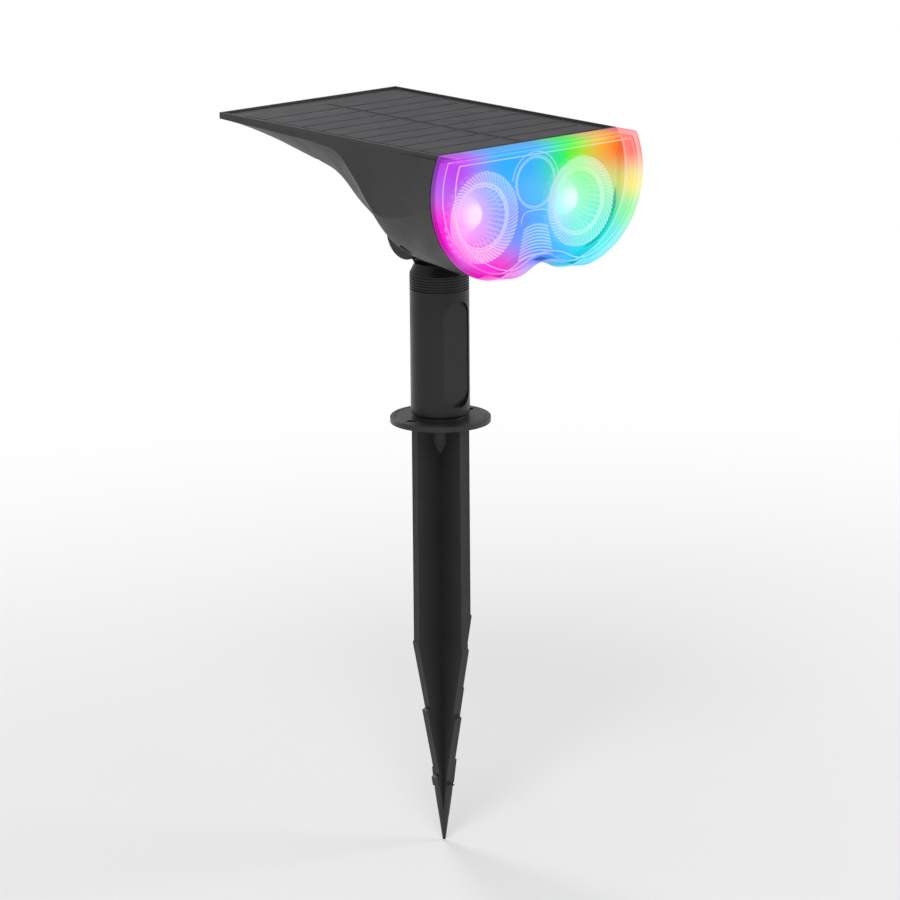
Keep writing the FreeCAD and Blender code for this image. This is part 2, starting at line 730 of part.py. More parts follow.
def face_wire(outline, y):
    """The front outline as eight edges, in a plane across Y."""
    edges = []
    for mirror in (1, -1):
        half = [arc_between(outline.side, outline.corner, outline.ridge, y, mirror),
                arc_between(outline.side, outline.ridge, outline.shoulder, y, mirror),
                arc_between(outline.lobe, outline.shoulder, outline.keel, y, mirror)]
        edges.append(half if mirror == 1 else half[::-1])
    keel_x, keel_drop = outline.keel
    dip = Part.Arc(face_point(keel_x, keel_drop, y), face_point(0, outline.centre[1], y),
                   face_point(-keel_x, keel_drop, y)).toShape()
    corner_x, corner_drop = outline.corner
    top = Part.LineSegment(face_point(-corner_x, corner_drop, y), face_point(corner_x, corner_drop, y))
    return Part.Wire([top.toShape()] + edges[0] + [dip] + edges[1])


def face_prism(inset, start, end, top_drop=None):
    """The front outline pushed along Y from start to end."""
    wire = face_wire(FaceOutline(inset, top_drop), start)
    return Part.Face(wire).extrude(Vector(0, end - start, 0))


# Shell sections behind the front: distance back, then the ridge where the side wall ends, the
# shoulder below it, the keel and the centre. Widths are from the panel's edge (ridge, shoulder) or
# from the middle (keel); drops are shares of the front outline's depth.
SECTIONS = [
    {"back": 36.0, "ridge": (3.2, 0.534), "shoulder": (-25.0, 0.925), "keel": (11.0, 0.918), "centre": 0.876,
     "bow": 0.16},
    {"back": 52.0, "ridge": (4.3, 0.306), "shoulder": (-13.0, 0.690), "keel": (13.0, 0.817), "centre": 0.812,
     "bow": 0.05},
    {"back": 68.0, "ridge": (2.2, 0.113), "shoulder": (-11.0, 0.505), "keel": (14.0, 0.672), "centre": 0.680,
     "bow": 0.03},
    {"back": 88.0, "ridge": (0.9, 0.078), "shoulder": (-13.0, 0.324), "keel": (14.0, 0.445), "centre": 0.453,
     "bow": 0.03},
]
TAIL_SECTIONS = [
    {"share": 0.36, "ridge": (0.3, 0.068), "shoulder": (-13.0, 0.235), "keel": (14.0, 0.300), "centre": 0.305,
     "bow": 0.03},
    {"share": 0.67, "ridge": (0.1, 0.058), "shoulder": (-13.0, 0.165), "keel": (14.0, 0.207), "centre": 0.210,
     "bow": 0.03},
    {"share": 1.00, "ridge": (0.0, 0.050), "shoulder": (-13.0, 0.095), "keel": (14.0, 0.122), "centre": 0.125,
     "bow": 0.0},
]
LOFT_STEPS = 16
CAVITY_SHARE = 0.85


def arc_poles(circle, start, end):
    """Control points of the cubic curve that follows an arc of a circle (x, drop, radius)."""
    angles = [math.atan2(point[1] - circle[1], point[0] - circle[0]) for point in (start, end)]
    reach = 4 / 3 * math.tan((angles[1] - angles[0]) / 4) * circle[2]
    first = (start[0] - reach * math.sin(angles[0]), start[1] + reach * math.cos(angles[0]))
    last = (end[0] + reach * math.sin(angles[1]), end[1] - reach * math.cos(angles[1]))
    return [start, first, last, end]


def bowed_poles(start, end, bow):
    """Control points of a nearly straight curve that bows outwards by a share of its length."""
    run_x = end[0] - start[0]
    run_drop = end[1] - start[1]
    points = [start]
    for share in (1 / 3, 2 / 3):
        points.append((start[0] + run_x * share + run_drop * bow, start[1] + run_drop * share - run_x * bow))
    return points + [end]


def face_poles(outline):
    """The right half of the front outline and its dip, as control points."""
    left_keel = (-outline.keel[0], outline.keel[1])
    return (arc_poles(outline.side, outline.corner, outline.ridge)
            + arc_poles(outline.side, outline.ridge, outline.shoulder)
            + arc_poles(outline.lobe, outline.shoulder, outline.keel)
            + arc_poles(outline.dip, outline.keel, left_keel))


def section_poles(section, inset, top_drop):
    """The right half of a shell section and its bottom, set in by the wall when it shapes the cavity."""
    half_width = panel_width.value / 2
    depth = FaceOutline().depth
    corner = (half_width - inset * 1.3, top_drop)
    ridge = (half_width + section["ridge"][0] - inset * 1.3, depth * section["ridge"][1])
    shoulder = (half_width + section["shoulder"][0] - inset * 0.86,
                depth * section["shoulder"][1] - inset * 0.87)
    keel = (section["keel"][0] - inset * 0.3, depth * section["keel"][1] - inset)
    lowest = depth * section["centre"] - inset
    pull = keel[1] + (lowest - keel[1]) * 4 / 3
    bottom = [keel, (keel[0] / 3, pull), (-keel[0] / 3, pull), (-keel[0], keel[1])]
    return (bowed_poles(corner, ridge, 0.02) + bowed_poles(ridge, shoulder, section["bow"])
            + bowed_poles(shoulder, keel, 0.08) + bottom)


def smooth_between(places, values, at):
    """Value at one place on a smooth curve that never overshoots the given values."""
    gaps = [after - before for before, after in zip(places, places[1:])]
    rises = [(after - before) / gap for before, after, gap in zip(values, values[1:], gaps)]
    slopes = [rises[0]]
    for before, after in zip(rises, rises[1:]):
        slopes.append(2 * before * after / (before + after) if before * after > 0 else 0.0)
    slopes.append(rises[-1])
    index = min(sum(1 for place in places[1:] if place <= at), len(gaps) - 1)
    gap = gaps[index]
    share = (at - places[index]) / gap
    rest = 1 - share
    return (values[index] * (1 + 2 * share) * rest ** 2 + slopes[index] * gap * share * rest ** 2
            + values[index + 1] * share ** 2 * (3 - 2 * share) - slopes[index + 1] * gap * share ** 2 * rest)


def wire_from_poles(poles, y):
    """Closed section wire: straight top, three curves down each side and one across the bottom."""
    curves = []
    for mirror in (1, -1):
        for start in (0, 4, 8):
            points = [face_point(x * mirror, drop, y) for x, drop in poles[start:start + 4]]
            curves.append(points)
    curves.append([face_point(x, drop, y) for x, drop in poles[12:16]])
    edges = []
    for index in (0, 1, 2, 6, 5, 4, 3):
        curve = Part.BezierCurve()
        curve.setPoles(curves[index] if index in (0, 1, 2, 6) else curves[index][::-1])
        edges.append(curve.toShape())
    top = Part.LineSegment(curves[3][0], curves[0][0]).toShape()
    return Part.Wire([top] + edges)


def shell_loft(inset=0.0, top_drop=None, end_share=1.0):
    """Solid through the front outline and smoothly changing sections behind it."""
    drop = tray_thick.value if top_drop is None else top_drop
    tail_start = SECTIONS[-1]["back"]
    tail = panel_length.value - tail_start
    places = [0.0] + [section["back"] for section in SECTIONS]
    places += [tail_start + tail * section["share"] for section in TAIL_SECTIONS]
    known = [face_poles(FaceOutline(inset * 1.3, drop))]
    known += [section_poles(section, inset, drop) for section in SECTIONS + TAIL_SECTIONS]
    wires = []
    for step in range(LOFT_STEPS + 1):
        at = panel_length.value * end_share * step / LOFT_STEPS
        poles = []
        for index in range(len(known[0])):
            pair = [smooth_between(places, [poles_at[index][axis] for poles_at in known], at)
                    for axis in (0, 1)]
            poles.append(tuple(pair))
        wires.append(wire_from_poles(poles, front_face.value + at))
    return Part.makeLoft(wires, True, False)


def rod(radius, start, end):
    """Plain cylinder between two points."""
    axis = Vector(*end) - Vector(*start)
    return Part.makeCylinder(radius, axis.Length, Vector(*start), axis)


def block(low, high):
    size = Vector(*high) - Vector(*low)
    return Part.makeBox(size.x, size.y, size.z, Vector(*low))


# ---------------------------------------------------------------- places inside the head

FACE = FaceOutline()
boss_bottom = tray_bottom - boss_height
battery_height = head_top - FACE.depth + battery_lift + battery_radius
control_board_height = battery_height + battery_radius + control_board_lift
control_board_y = front_face + control_board_front
button_centre_height = head_top - FACE.depth * 0.353
button_frame = FreeCAD.Placement(Vector(0, button_back.value, button_centre_height.value),
                                 Rotation(Vector(1, 0, 0), button_angle.value))


def cover_screw_places():
    """Four places for the screws that hold the panel tray, front pair wider than the back pair."""
    half_width = panel_width.value / 2
    rows = ((cover_screw_front, cover_screw_front_inset), (cover_screw_back, cover_screw_back_inset))
    return [(sign * (half_width - inset.value), front_face.value + back.value)
            for back, inset in rows for sign in (-1, 1)]


def board_post_places():
    inset = board_post_inset.value
    side = control_board_width.value / 2 - inset
    front = control_board_y.value + inset
    back = control_board_y.value + control_board_length.value - inset
    return [(sign * side, y) for y in (front, back) for sign in (-1, 1)]


def carrier_screw_places():
    """Two screws near the top corners and one above the dip, as (x, drop)."""
    inner = FaceOutline(shell_wall.value * 1.3)
    top_drop = side_centre_drop.value * 0.45
    side = inner.side_x(top_drop) - standoff_radius.value - 0.2
    return [(-side, top_drop), (side, top_drop), (0.0, inner.centre[1] - standoff_radius.value)]


# ---------------------------------------------------------------- lamp head

def make_lamp_housing():
    """Moulded shell: open top and front, with its posts, saddles, bracket seat and button well."""
    wall = shell_wall.value
    top = tray_bottom.value
    outer = shell_loft()
    half_bracket = bracket_width.value / 2
    seat = bracket_top.value
    front = bracket_front.value
    back = front + cheek_radius.value * 2
    floor = head_top.value - FACE.depth - 10 * tool_margin
    pad_block = block((-half_bracket, front, seat), (half_bracket, back, seat + seat_block_rise.value))
    collar = rod(well_radius.value + well_wall.value, (0, 0, -1), (0, 0, wall))
    collar = collar.transformed(button_frame.toMatrix())
    outer = outer.fuse([pad_block, collar])

    kept = [block((-half_bracket - wall, front - wall, floor),
                  (half_bracket + wall, back + wall, seat + seat_block_rise.value))]
    for x, y in cover_screw_places():
        kept.append(rod(column_radius.value, (x, y, floor), (x, y, boss_bottom.value - fit_gap.value)))
    for x, y in board_post_places():
        kept.append(rod(post_radius.value, (x, y, floor), (x, y, control_board_height.value)))
    kept += battery_supports(floor)
    post_start = carrier_back.value
    for x, drop in carrier_screw_places():
        height = head_top.value - drop
        kept.append(rod(carrier_post_radius.value, (x, post_start, height),
                        (x, post_start + carrier_screw_length.value, height)))
    well = rod(well_radius.value + well_wall.value, (0, 0, -2 * well_depth.value), (0, 0, well_depth.value))
    kept.append(well.transformed(button_frame.toMatrix()))

    cavity = shell_loft(wall, tray_thick.value - tool_margin, CAVITY_SHARE).cut(kept)
    shell = outer.cut(cavity)

    gap = seat_gap.value
    cuts = [block((-half_bracket - gap, front - gap, floor), (half_bracket + gap, back + gap, seat))]
    for offset in (-bracket_screw_offset.value, bracket_screw_offset.value):
        y = pivot_back.value + offset
        cuts.append(rod(screw_radius.value + fit_gap.value, (0, y, seat - tool_margin),
                        (0, y, seat + seat_screw_depth.value)))
    for x, y in cover_screw_places():
        screw_seat = boss_bottom.value - column_seat.value
        cuts.append(rod(screw_radius.value + slide_gap.value, (x, y, floor), (x, y, top)))
        cuts.append(rod(screw_head_radius.value + gap, (x, y, floor), (x, y, screw_seat)))
    for x, y in board_post_places():
        high = control_board_height.value
        cuts.append(rod(screw_radius.value + fit_gap.value, (x, y, high - board_screw_length.value),
                        (x, y, high + tool_margin)))
    for x, drop in carrier_screw_places():
        height = head_top.value - drop
        cuts.append(rod(screw_radius.value + fit_gap.value, (x, post_start - tool_margin, height),
                        (x, post_start + carrier_screw_length.value - tool_margin, height)))
    battery = rod(battery_radius.value + slide_gap.value,
                  (-battery_length.value / 2, battery_back.value, battery_height.value),
                  (battery_length.value / 2, battery_back.value, battery_height.value))
    cuts.append(battery)
    bore = rod(button_radius.value + slide_gap.value, (0, 0, -5), (0, 0, 5))
    room = rod(well_radius.value, (0, 0, wall), (0, 0, well_depth.value + 1))
    cuts += [bore.transformed(button_frame.toMatrix()), room.transformed(button_frame.toMatrix())]
    return solid("lamp_housing", shell.cut(cuts).removeSplitter())


def battery_supports(floor):
    """Two saddles under the cell and an end rib behind each contact."""
    y = battery_back.value
    depth = battery_radius.value + rib_thick.value
    half = battery_length.value / 2
    rib = half + contact_thick.value + slide_gap.value * 2
    supports = []
    for sign in (-1, 1):
        for near, height in ((half * 0.5, battery_height.value - tool_margin),
                             (rib, battery_height.value + contact_size.value / 2)):
            xs = sorted((near * sign, (near + rib_thick.value) * sign))
            supports.append(block((xs[0], y - depth, floor), (xs[1], y + depth, height)))
    return supports


def make_panel_tray():
    """Top cover: a shallow tray with a thin rim for the solar panel and four screw bosses."""
    body = new_body("panel_tray")
    rear = panel_length - head_front
    half = panel_width / 2
    plate = new_sketch(body, "tray_outline", "XY", tray_bottom)
    draw_outline(plate, [(-half, front_face), (half, front_face), (half, rear), (-half, rear)])
    pad(body, plate, "tray_plate", tray_thick)
    bosses = new_sketch(body, "boss_outlines", "XY", boss_bottom)
    pilots = new_sketch(body, "pilot_outlines", "XY", boss_bottom)
    for x, y in cover_screw_places():
        draw_circle(bosses, boss_radius, x, y)
        draw_circle(pilots, screw_radius + fit_gap, x, y)
    pad(body, bosses, "bosses", boss_height)
    recess = new_sketch(body, "recess_outline", "XY", head_top)
    low_y = front_face + tray_rim
    high_y = rear - tray_rim
    side = half - tray_rim
    draw_outline(recess, [(-side, low_y), (side, low_y), (side, high_y), (-side, high_y)])
    pocket(body, recess, "recess", tray_thick - tray_floor)
    pocket(body, pilots, "pilot_bores", boss_height - 0.5, reverse=True)
    return body


def panel_sheet(name, low, thick, inset):
    """Flat rectangular layer inside the tray."""
    margin = tray_rim + inset
    return box(name, panel_width - margin * 2, panel_length - margin * 2, thick, 0, front_face + margin, low)


def make_solar_cells():
    """Two columns of thin cell strips on the backing."""
    column = (panel_width - cell_side_margin * 2 - cell_centre_gap) / 2
    pitch = (panel_length - cell_front_margin - cell_rear_margin) / cell_rows
    low = tray_bottom + tray_floor + backing_thick
    strips = []
    for index in range(cell_rows * 2):
        row = index // 2
        side = -1 if index % 2 else 1
        x = (column + cell_centre_gap) / 2 * side
        y = front_face + cell_front_margin + pitch * row + cell_gap / 2
        strips.append(box(f"cell_{index}", column, pitch - cell_gap, cell_thick, x, y, low))
    return group("solar_cells", *strips)


def lens_solid(inset, start, end):
    """The cover's outline from its back to its front, where the lower edge is lifted."""
    rear = face_wire(FaceOutline(inset), end)
    front = face_wire(FaceOutline(inset, lift=lens_lift.value), start)
    return Part.makeLoft([rear, front], True, True)


def make_lens_cover():
    """Clear cover: the front outline as a shallow open-backed box with rounded front edges."""
    back = front_face.value - seal_thick.value
    front = front_face.value - lens_depth.value
    outer = lens_solid(0.0, front, back)
    edges = [edge for edge in outer.Edges if abs(edge.BoundBox.YMax - front) < 1e-6]
    outer = outer.makeFillet(lens_edge.value, edges)
    inner = lens_solid(lens_wall.value, front + lens_front_wall.value, back)
    return solid("lens_cover", outer.cut(inner))


def make_lens_seal():
    back = front_face.value
    front = back - seal_thick.value
    inset = (lens_wall.value - seal_width.value) / 2
    outer = face_prism(inset, front, back)
    inner = face_prism(inset + seal_width.value, front - 1, back + 1)
    return solid("lens_seal", outer.cut(inner))


def make_lamp_carrier():
    """Plate in the mouth of the housing that holds both reflectors and stands the LED board off."""
    start = carrier_front.value
    end = carrier_back.value
    inset = shell_wall.value * 1.3 + seat_gap.value * 3
    plate = face_prism(inset, start, end)
    height = lamp_height.value
    for offset in (-standoff_offset.value, standoff_offset.value):
        z = height + offset
        plate = plate.fuse(rod(standoff_radius.value, (0, end - 0.5, z), (0, led_board_front.value, z)))
    cuts = []
    opening = cup_mouth.value + cup_wall.value + seat_gap.value
    for sign in (-1, 1):
        x = lamp_side.value * sign
        cuts.append(rod(opening, (x, start - 1, height), (x, end + 1, height)))
        z = height + standoff_offset.value * sign
        cuts.append(rod(screw_radius.value + fit_gap.value, (0, end + tool_margin, z),
                        (0, led_board_front.value + tool_margin, z)))
    for x, drop in carrier_screw_places():
        z = head_top.value - drop
        cuts.append(rod(screw_radius.value + slide_gap.value, (x, start - 1, z), (x, end + 1, z)))
    return solid("lamp_carrier", plate.cut(cuts))


def make_reflector(side, sign):
    """Cup with a broad sloping bezel, turned about the lamp's own axis."""
    back = led_board_front.value
    mouth_y = bezel_front.value + bezel_slope.value
    points = [(bezel_radius.value, bezel_back.value), (bezel_radius.value, bezel_front.value),
              (cup_mouth.value, mouth_y), (cup_throat.value, back),
              (cup_throat.value + cup_wall.value, back), (cup_mouth.value + cup_wall.value, bezel_back.value)]
    centre = Vector(lamp_side.value * sign, 0, lamp_height.value)
    corners = [centre + Vector(radius, y, 0) for radius, y in points]
    profile = Part.Face(Part.makePolygon(corners + [corners[0]]))
    return solid(f"reflector_{side}", profile.revolve(centre, Vector(0, 1, 0), 360))


def make_led(side, sign):
    """Square emitter base with a domed lens."""
    x = lamp_side.value * sign
    z = lamp_height.value
    half = led_base_size.value / 2
    front = led_board_front.value - led_base_thick.value
    base = block((x - half, front, z - half), (x + half, led_board_front.value, z + half))
    dome = Part.makeSphere(led_dome_radius.value, Vector(x, front, z), Vector(0, -1, 0), 0, 90, 360)
    return solid(f"led_{side}", base.fuse(dome))


def make_led_board():
    low = lamp_height - led_board_height / 2
    board = box("led_board_blank", led_board_width, board_thick, led_board_height, 0, led_board_front, low)
    holes = []
    for label, sign in (("low", -1), ("high", 1)):
        holes.append(cylinder(f"led_board_hole_{label}", screw_radius + slide_gap, board_thick * 3, 0,
                              led_board_front - board_thick, lamp_height + standoff_offset * sign, "Y"))
    return cut("led_board", board, *holes)


def screw_along_y(length, x, seat, z, way):
    """Pan-head screw along Y: way is the shank's direction from its seat."""
    head = screw_head_radius.value
    head_thick = screw_head_thick.value
    shank = rod(screw_radius.value, (x, seat, z), (x, seat + length * way, z))
    cap = rod(head, (x, seat, z), (x, seat - head_thick * way, z))
    face_y = seat - head_thick * way
    floor_y = face_y + SLOT_DEPTH * way
    slot = block((x - head * 0.8, min(face_y, floor_y), z - head * 0.15),
                 (x + head * 0.8, max(face_y, floor_y), z + head * 0.15))
    return shank.fuse(cap).cut(slot)


def make_led_board_screws():
    seat = led_board_front.value + board_thick.value
    screws = []
    for sign in (-1, 1):
        height = lamp_height.value + standoff_offset.value * sign
        screws.append(screw_along_y(led_screw_length.value, 0, seat, height, -1))
    return solid("led_board_screws", Part.makeCompound(screws))


def make_carrier_screws():
    screws = []
    for x, drop in carrier_screw_places():
        screws.append(screw_along_y(carrier_screw_length.value, x, carrier_front.value,
                                    head_top.value - drop, 1))
    return solid("carrier_screws", Part.makeCompound(screws))


def make_cover_screws():
    seat = boss_bottom - column_seat
    screws = [screw(f"cover_screw_{index}", x, y, seat, screw_radius, screw_length, "up",
                    screw_head_radius, screw_head_thick)
              for index, (x, y) in enumerate(cover_screw_places())]
    return group("cover_screws", *screws)


# ---------------------------------------------------------------- battery, board and switch

def make_battery():
    half = battery_length / 2
    can = cylinder("battery_can", battery_radius, battery_length - battery_tip, -half, battery_back,
                   battery_height, "X")
    tip = cylinder("battery_nub", battery_radius * 0.35, battery_length, -half, battery_back,
                   battery_height, "X")
    return fuse("battery", can, tip)


def make_battery_contacts():
    contacts = []
    reach = battery_length / 2 + slide_gap
    for label, x in (("left", -(reach + contact_thick / 2)), ("right", reach + contact_thick / 2)):
        contacts.append(box(f"contact_{label}", contact_thick, contact_size, contact_size, x,
                            battery_back - contact_size / 2, battery_height - contact_size / 2))
    return group("battery_contacts", *contacts)


def make_control_board():
    plate = box("control_blank", control_board_width, control_board_length, board_thick, 0, control_board_y,
                control_board_height)
    holes = [cylinder(f"control_hole_{index}", screw_radius + slide_gap, board_thick * 3, x, y,
                      control_board_height - board_thick)
             for index, (x, y) in enumerate(board_post_places())]
    return cut("control_board", plate, *holes)


# Name, width, depth, height, x and distance behind the board's middle
BOARD_BLOCKS = [("driver_chip", 8, 6, 1.6, -8, 0), ("battery_plug", 8, 5, 5, 15, -12)]
# Name, radius, height, x and distance behind the board's middle
BOARD_CANS = [("coil", 4, 5, 8, 2), ("capacitor", 2.5, 8, -17, -6)]


def make_board_parts():
    """Driver chip, coil, capacitor and connector blocks on the control board."""
    top = control_board_height + board_thick
    middle = control_board_y + control_board_length / 2
    blocks = [box(name, width, depth, height, x, middle + back, top)
              for name, width, depth, height, x, back in BOARD_BLOCKS]
    cans = [cylinder(name, radius, height, x, middle + back, top)
            for name, radius, height, x, back in BOARD_CANS]
    return group("board_parts", *blocks, *cans)


def make_board_screws():
    seat = control_board_height + board_thick
    screws = [screw(f"board_screw_{index}", x, y, seat, screw_radius, board_screw_length, "down",
                    screw_head_radius, screw_head_thick)
              for index, (x, y) in enumerate(board_post_places())]
    return group("board_screws", *screws)


def in_button_frame(name, shape):
    obj = solid(name, shape)
    obj.Placement = button_frame
    return obj


def make_mode_button():
    """Round cap with a retaining flange and a stem that presses the switch."""
    wall = shell_wall.value
    flange_start = wall + slide_gap.value
    flange_end = flange_start + 1
    stem_end = well_depth.value - 2 - button_travel.value - slide_gap.value
    cap_start = -1 - button_proud.value
    cap = rod(button_radius.value, (0, 0, cap_start), (0, 0, flange_end))
    outer_edge = [edge for edge in cap.Edges if abs(edge.BoundBox.ZMax - cap_start) < 1e-6]
    cap = cap.makeFillet(0.6, outer_edge)
    flange = rod(button_radius.value + button_flange.value, (0, 0, flange_start), (0, 0, flange_end))
    stem = rod(2.0, (0, 0, flange_end - 0.5), (0, 0, stem_end))
    return in_button_frame("mode_button", cap.fuse([flange, stem]))


def make_switch_board():
    radius = well_radius.value + well_wall.value - slide_gap.value
    start = well_depth.value
    return in_button_frame("switch_board", rod(radius, (0, 0, start), (0, 0, start + board_thick.value)))


def make_tact_switch():
    half = switch_size.value / 2
    top = well_depth.value
    return in_button_frame("tact_switch", block((-half, -half, top - 2), (half, half, top)))


# ---------------------------------------------------------------- leads

def lead(points, radius):
    """Tube through straight runs joined by tangent arcs."""
    stops = [Vector(*point) for point in points]
    edges = []
    start = stops[0]
    for before, corner, after in zip(stops, stops[1:], stops[2:]):
        into = (corner - before).normalize()
        out = (after - corner).normalize()
        turn = into.getAngle(out)
        reach = 0.45 * min((corner - before).Length, (after - corner).Length)
        bend = reach / math.tan(turn / 2)
        enter = corner - into * reach
        leave = corner + out * reach
        inward = (out - into).normalize()
        middle = corner + inward * (math.hypot(bend, reach) - bend)
        edges.append(Part.LineSegment(start, enter).toShape())
        edges.append(Part.Arc(enter, middle, leave).toShape())
        start = leave
    edges.append(Part.LineSegment(start, stops[-1]).toShape())
    direction = stops[1] - stops[0]
    ring = Part.Wire([Part.makeCircle(radius, stops[0], direction)])
    return Part.Wire(edges).makePipeShell([ring], True, False)


def make_leads():
    """Leads from the panel, the LED board and the battery contacts down to the control board."""
    radius = lead_radius.value
    gap = fit_gap.value
    board_top = control_board_height.value + board_thick.value + gap
    tray = tray_bottom.value - gap
    rise = tray - 6
    back = control_board_y.value + control_board_length.value
    panel = lead([(4, back + 14, tray), (4, back + 14, rise), (4, back - 7, rise), (4, back - 7, board_top)],
                 radius)
    led_back = led_board_front.value + board_thick.value + gap
    led_height = board_top + 3.5
    front = control_board_y.value
    led = lead([(20, led_back, led_height), (20, front + 6, led_height), (20, front + 6, board_top)], radius)
    contact_x = battery_length.value / 2 + slide_gap.value + contact_thick.value / 2
    contact_top = battery_height.value + contact_size.value / 2 + gap
    battery_rise = board_top + 6
    inner_x = control_board_width.value / 2 - 8
    y = battery_back.value
    battery_pair = []
    for sign in (-1, 1):
        points = [(contact_x * sign, y, contact_top), (contact_x * sign, y, battery_rise),
                  (inner_x * sign, y, battery_rise), (inner_x * sign, y, board_top)]
        battery_pair.append(lead(points, radius / 2))
    return [solid("panel_lead", panel), solid("led_lead", led),
            solid("battery_leads", Part.makeCompound(battery_pair))]


# ---------------------------------------------------------------- build, check and export

def make_all():
    low = tray_bottom + tray_floor
    return [
        make_ground_stake(), make_mounting_flange(), make_pole(), make_swivel_ring(),
        make_swivel_neck(), make_swivel_washer(), make_swivel_screw(),
        make_tilt_bracket(), make_tilt_bolt(), make_tilt_nut(), make_tilt_washers(), make_bracket_screws(),
        make_lamp_housing(), make_panel_tray(), panel_sheet("panel_backing", low, backing_thick, slide_gap),
        make_solar_cells(),
        panel_sheet("panel_cover", low + backing_thick + cell_thick, cover_thick, slide_gap),
        make_cover_screws(), make_lens_cover(), make_lens_seal(), make_lamp_carrier(), make_carrier_screws(),
        make_reflector("left", -1), make_reflector("right", 1), make_led("left", -1), make_led("right", 1),
        make_led_board(), make_led_board_screws(), make_battery(), make_battery_contacts(),
        make_control_board(), make_board_parts(), make_board_screws(),
        make_mode_button(), make_switch_board(), make_tact_switch(), *make_leads(),
    ]


def check_and_export(parts):
    """Stop on any failed object or bad shape, then write one STEP file for each sub-part."""
    for obj in doc.Objects:
        if "Invalid" in obj.State or "Error" in obj.State:
            raise RuntimeError(f"{obj.Name} failed: {obj.State}")
    os.makedirs("parts", exist_ok=True)
    for part in parts:
        shape = part.Shape
        if shape.isNull() or not shape.isValid():
            raise RuntimeError(f"{part.Label} has a bad shape")
        shape.exportStep(os.path.join("parts", f"{part.Label}.step"))
        print(f"{part.Label}: {len(shape.Solids)} solid, {shape.Volume:.0f} mm3")


sub_parts = make_all()
doc.recompute()
check_and_export(sub_parts)
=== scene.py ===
import json
import math

import bmesh
import bpy
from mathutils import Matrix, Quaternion, Vector


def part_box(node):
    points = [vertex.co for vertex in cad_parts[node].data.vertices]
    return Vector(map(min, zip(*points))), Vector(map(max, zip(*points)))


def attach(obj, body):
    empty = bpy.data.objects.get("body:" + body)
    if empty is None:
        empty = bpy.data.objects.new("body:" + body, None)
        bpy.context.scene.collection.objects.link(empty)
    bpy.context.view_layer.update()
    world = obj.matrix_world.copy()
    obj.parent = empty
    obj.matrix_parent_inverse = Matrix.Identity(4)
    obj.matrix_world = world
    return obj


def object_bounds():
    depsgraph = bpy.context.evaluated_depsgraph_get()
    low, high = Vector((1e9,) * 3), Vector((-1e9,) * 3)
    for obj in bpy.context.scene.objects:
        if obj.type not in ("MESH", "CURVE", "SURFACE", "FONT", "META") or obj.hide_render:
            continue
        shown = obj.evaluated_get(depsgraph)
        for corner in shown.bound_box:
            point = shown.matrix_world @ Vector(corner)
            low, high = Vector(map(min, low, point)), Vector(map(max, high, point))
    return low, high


# Solar garden spotlight on a ground stake. Metres, in the CAD's own frame: +Z up, the lamps face -Y.

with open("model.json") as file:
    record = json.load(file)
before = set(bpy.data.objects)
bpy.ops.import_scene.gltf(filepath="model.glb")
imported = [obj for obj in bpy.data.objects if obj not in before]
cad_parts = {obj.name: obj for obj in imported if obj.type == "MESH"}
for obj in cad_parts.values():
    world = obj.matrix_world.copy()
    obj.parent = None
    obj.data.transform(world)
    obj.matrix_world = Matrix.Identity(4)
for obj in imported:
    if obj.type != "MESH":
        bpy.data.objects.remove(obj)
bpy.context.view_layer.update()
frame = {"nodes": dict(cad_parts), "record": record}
NODES = frame["nodes"]
SLOT_OF = {part["node"]: part["material_slot"] for part in frame["record"]["subparts"]}


# ---------------------------------------------------------------- node helpers

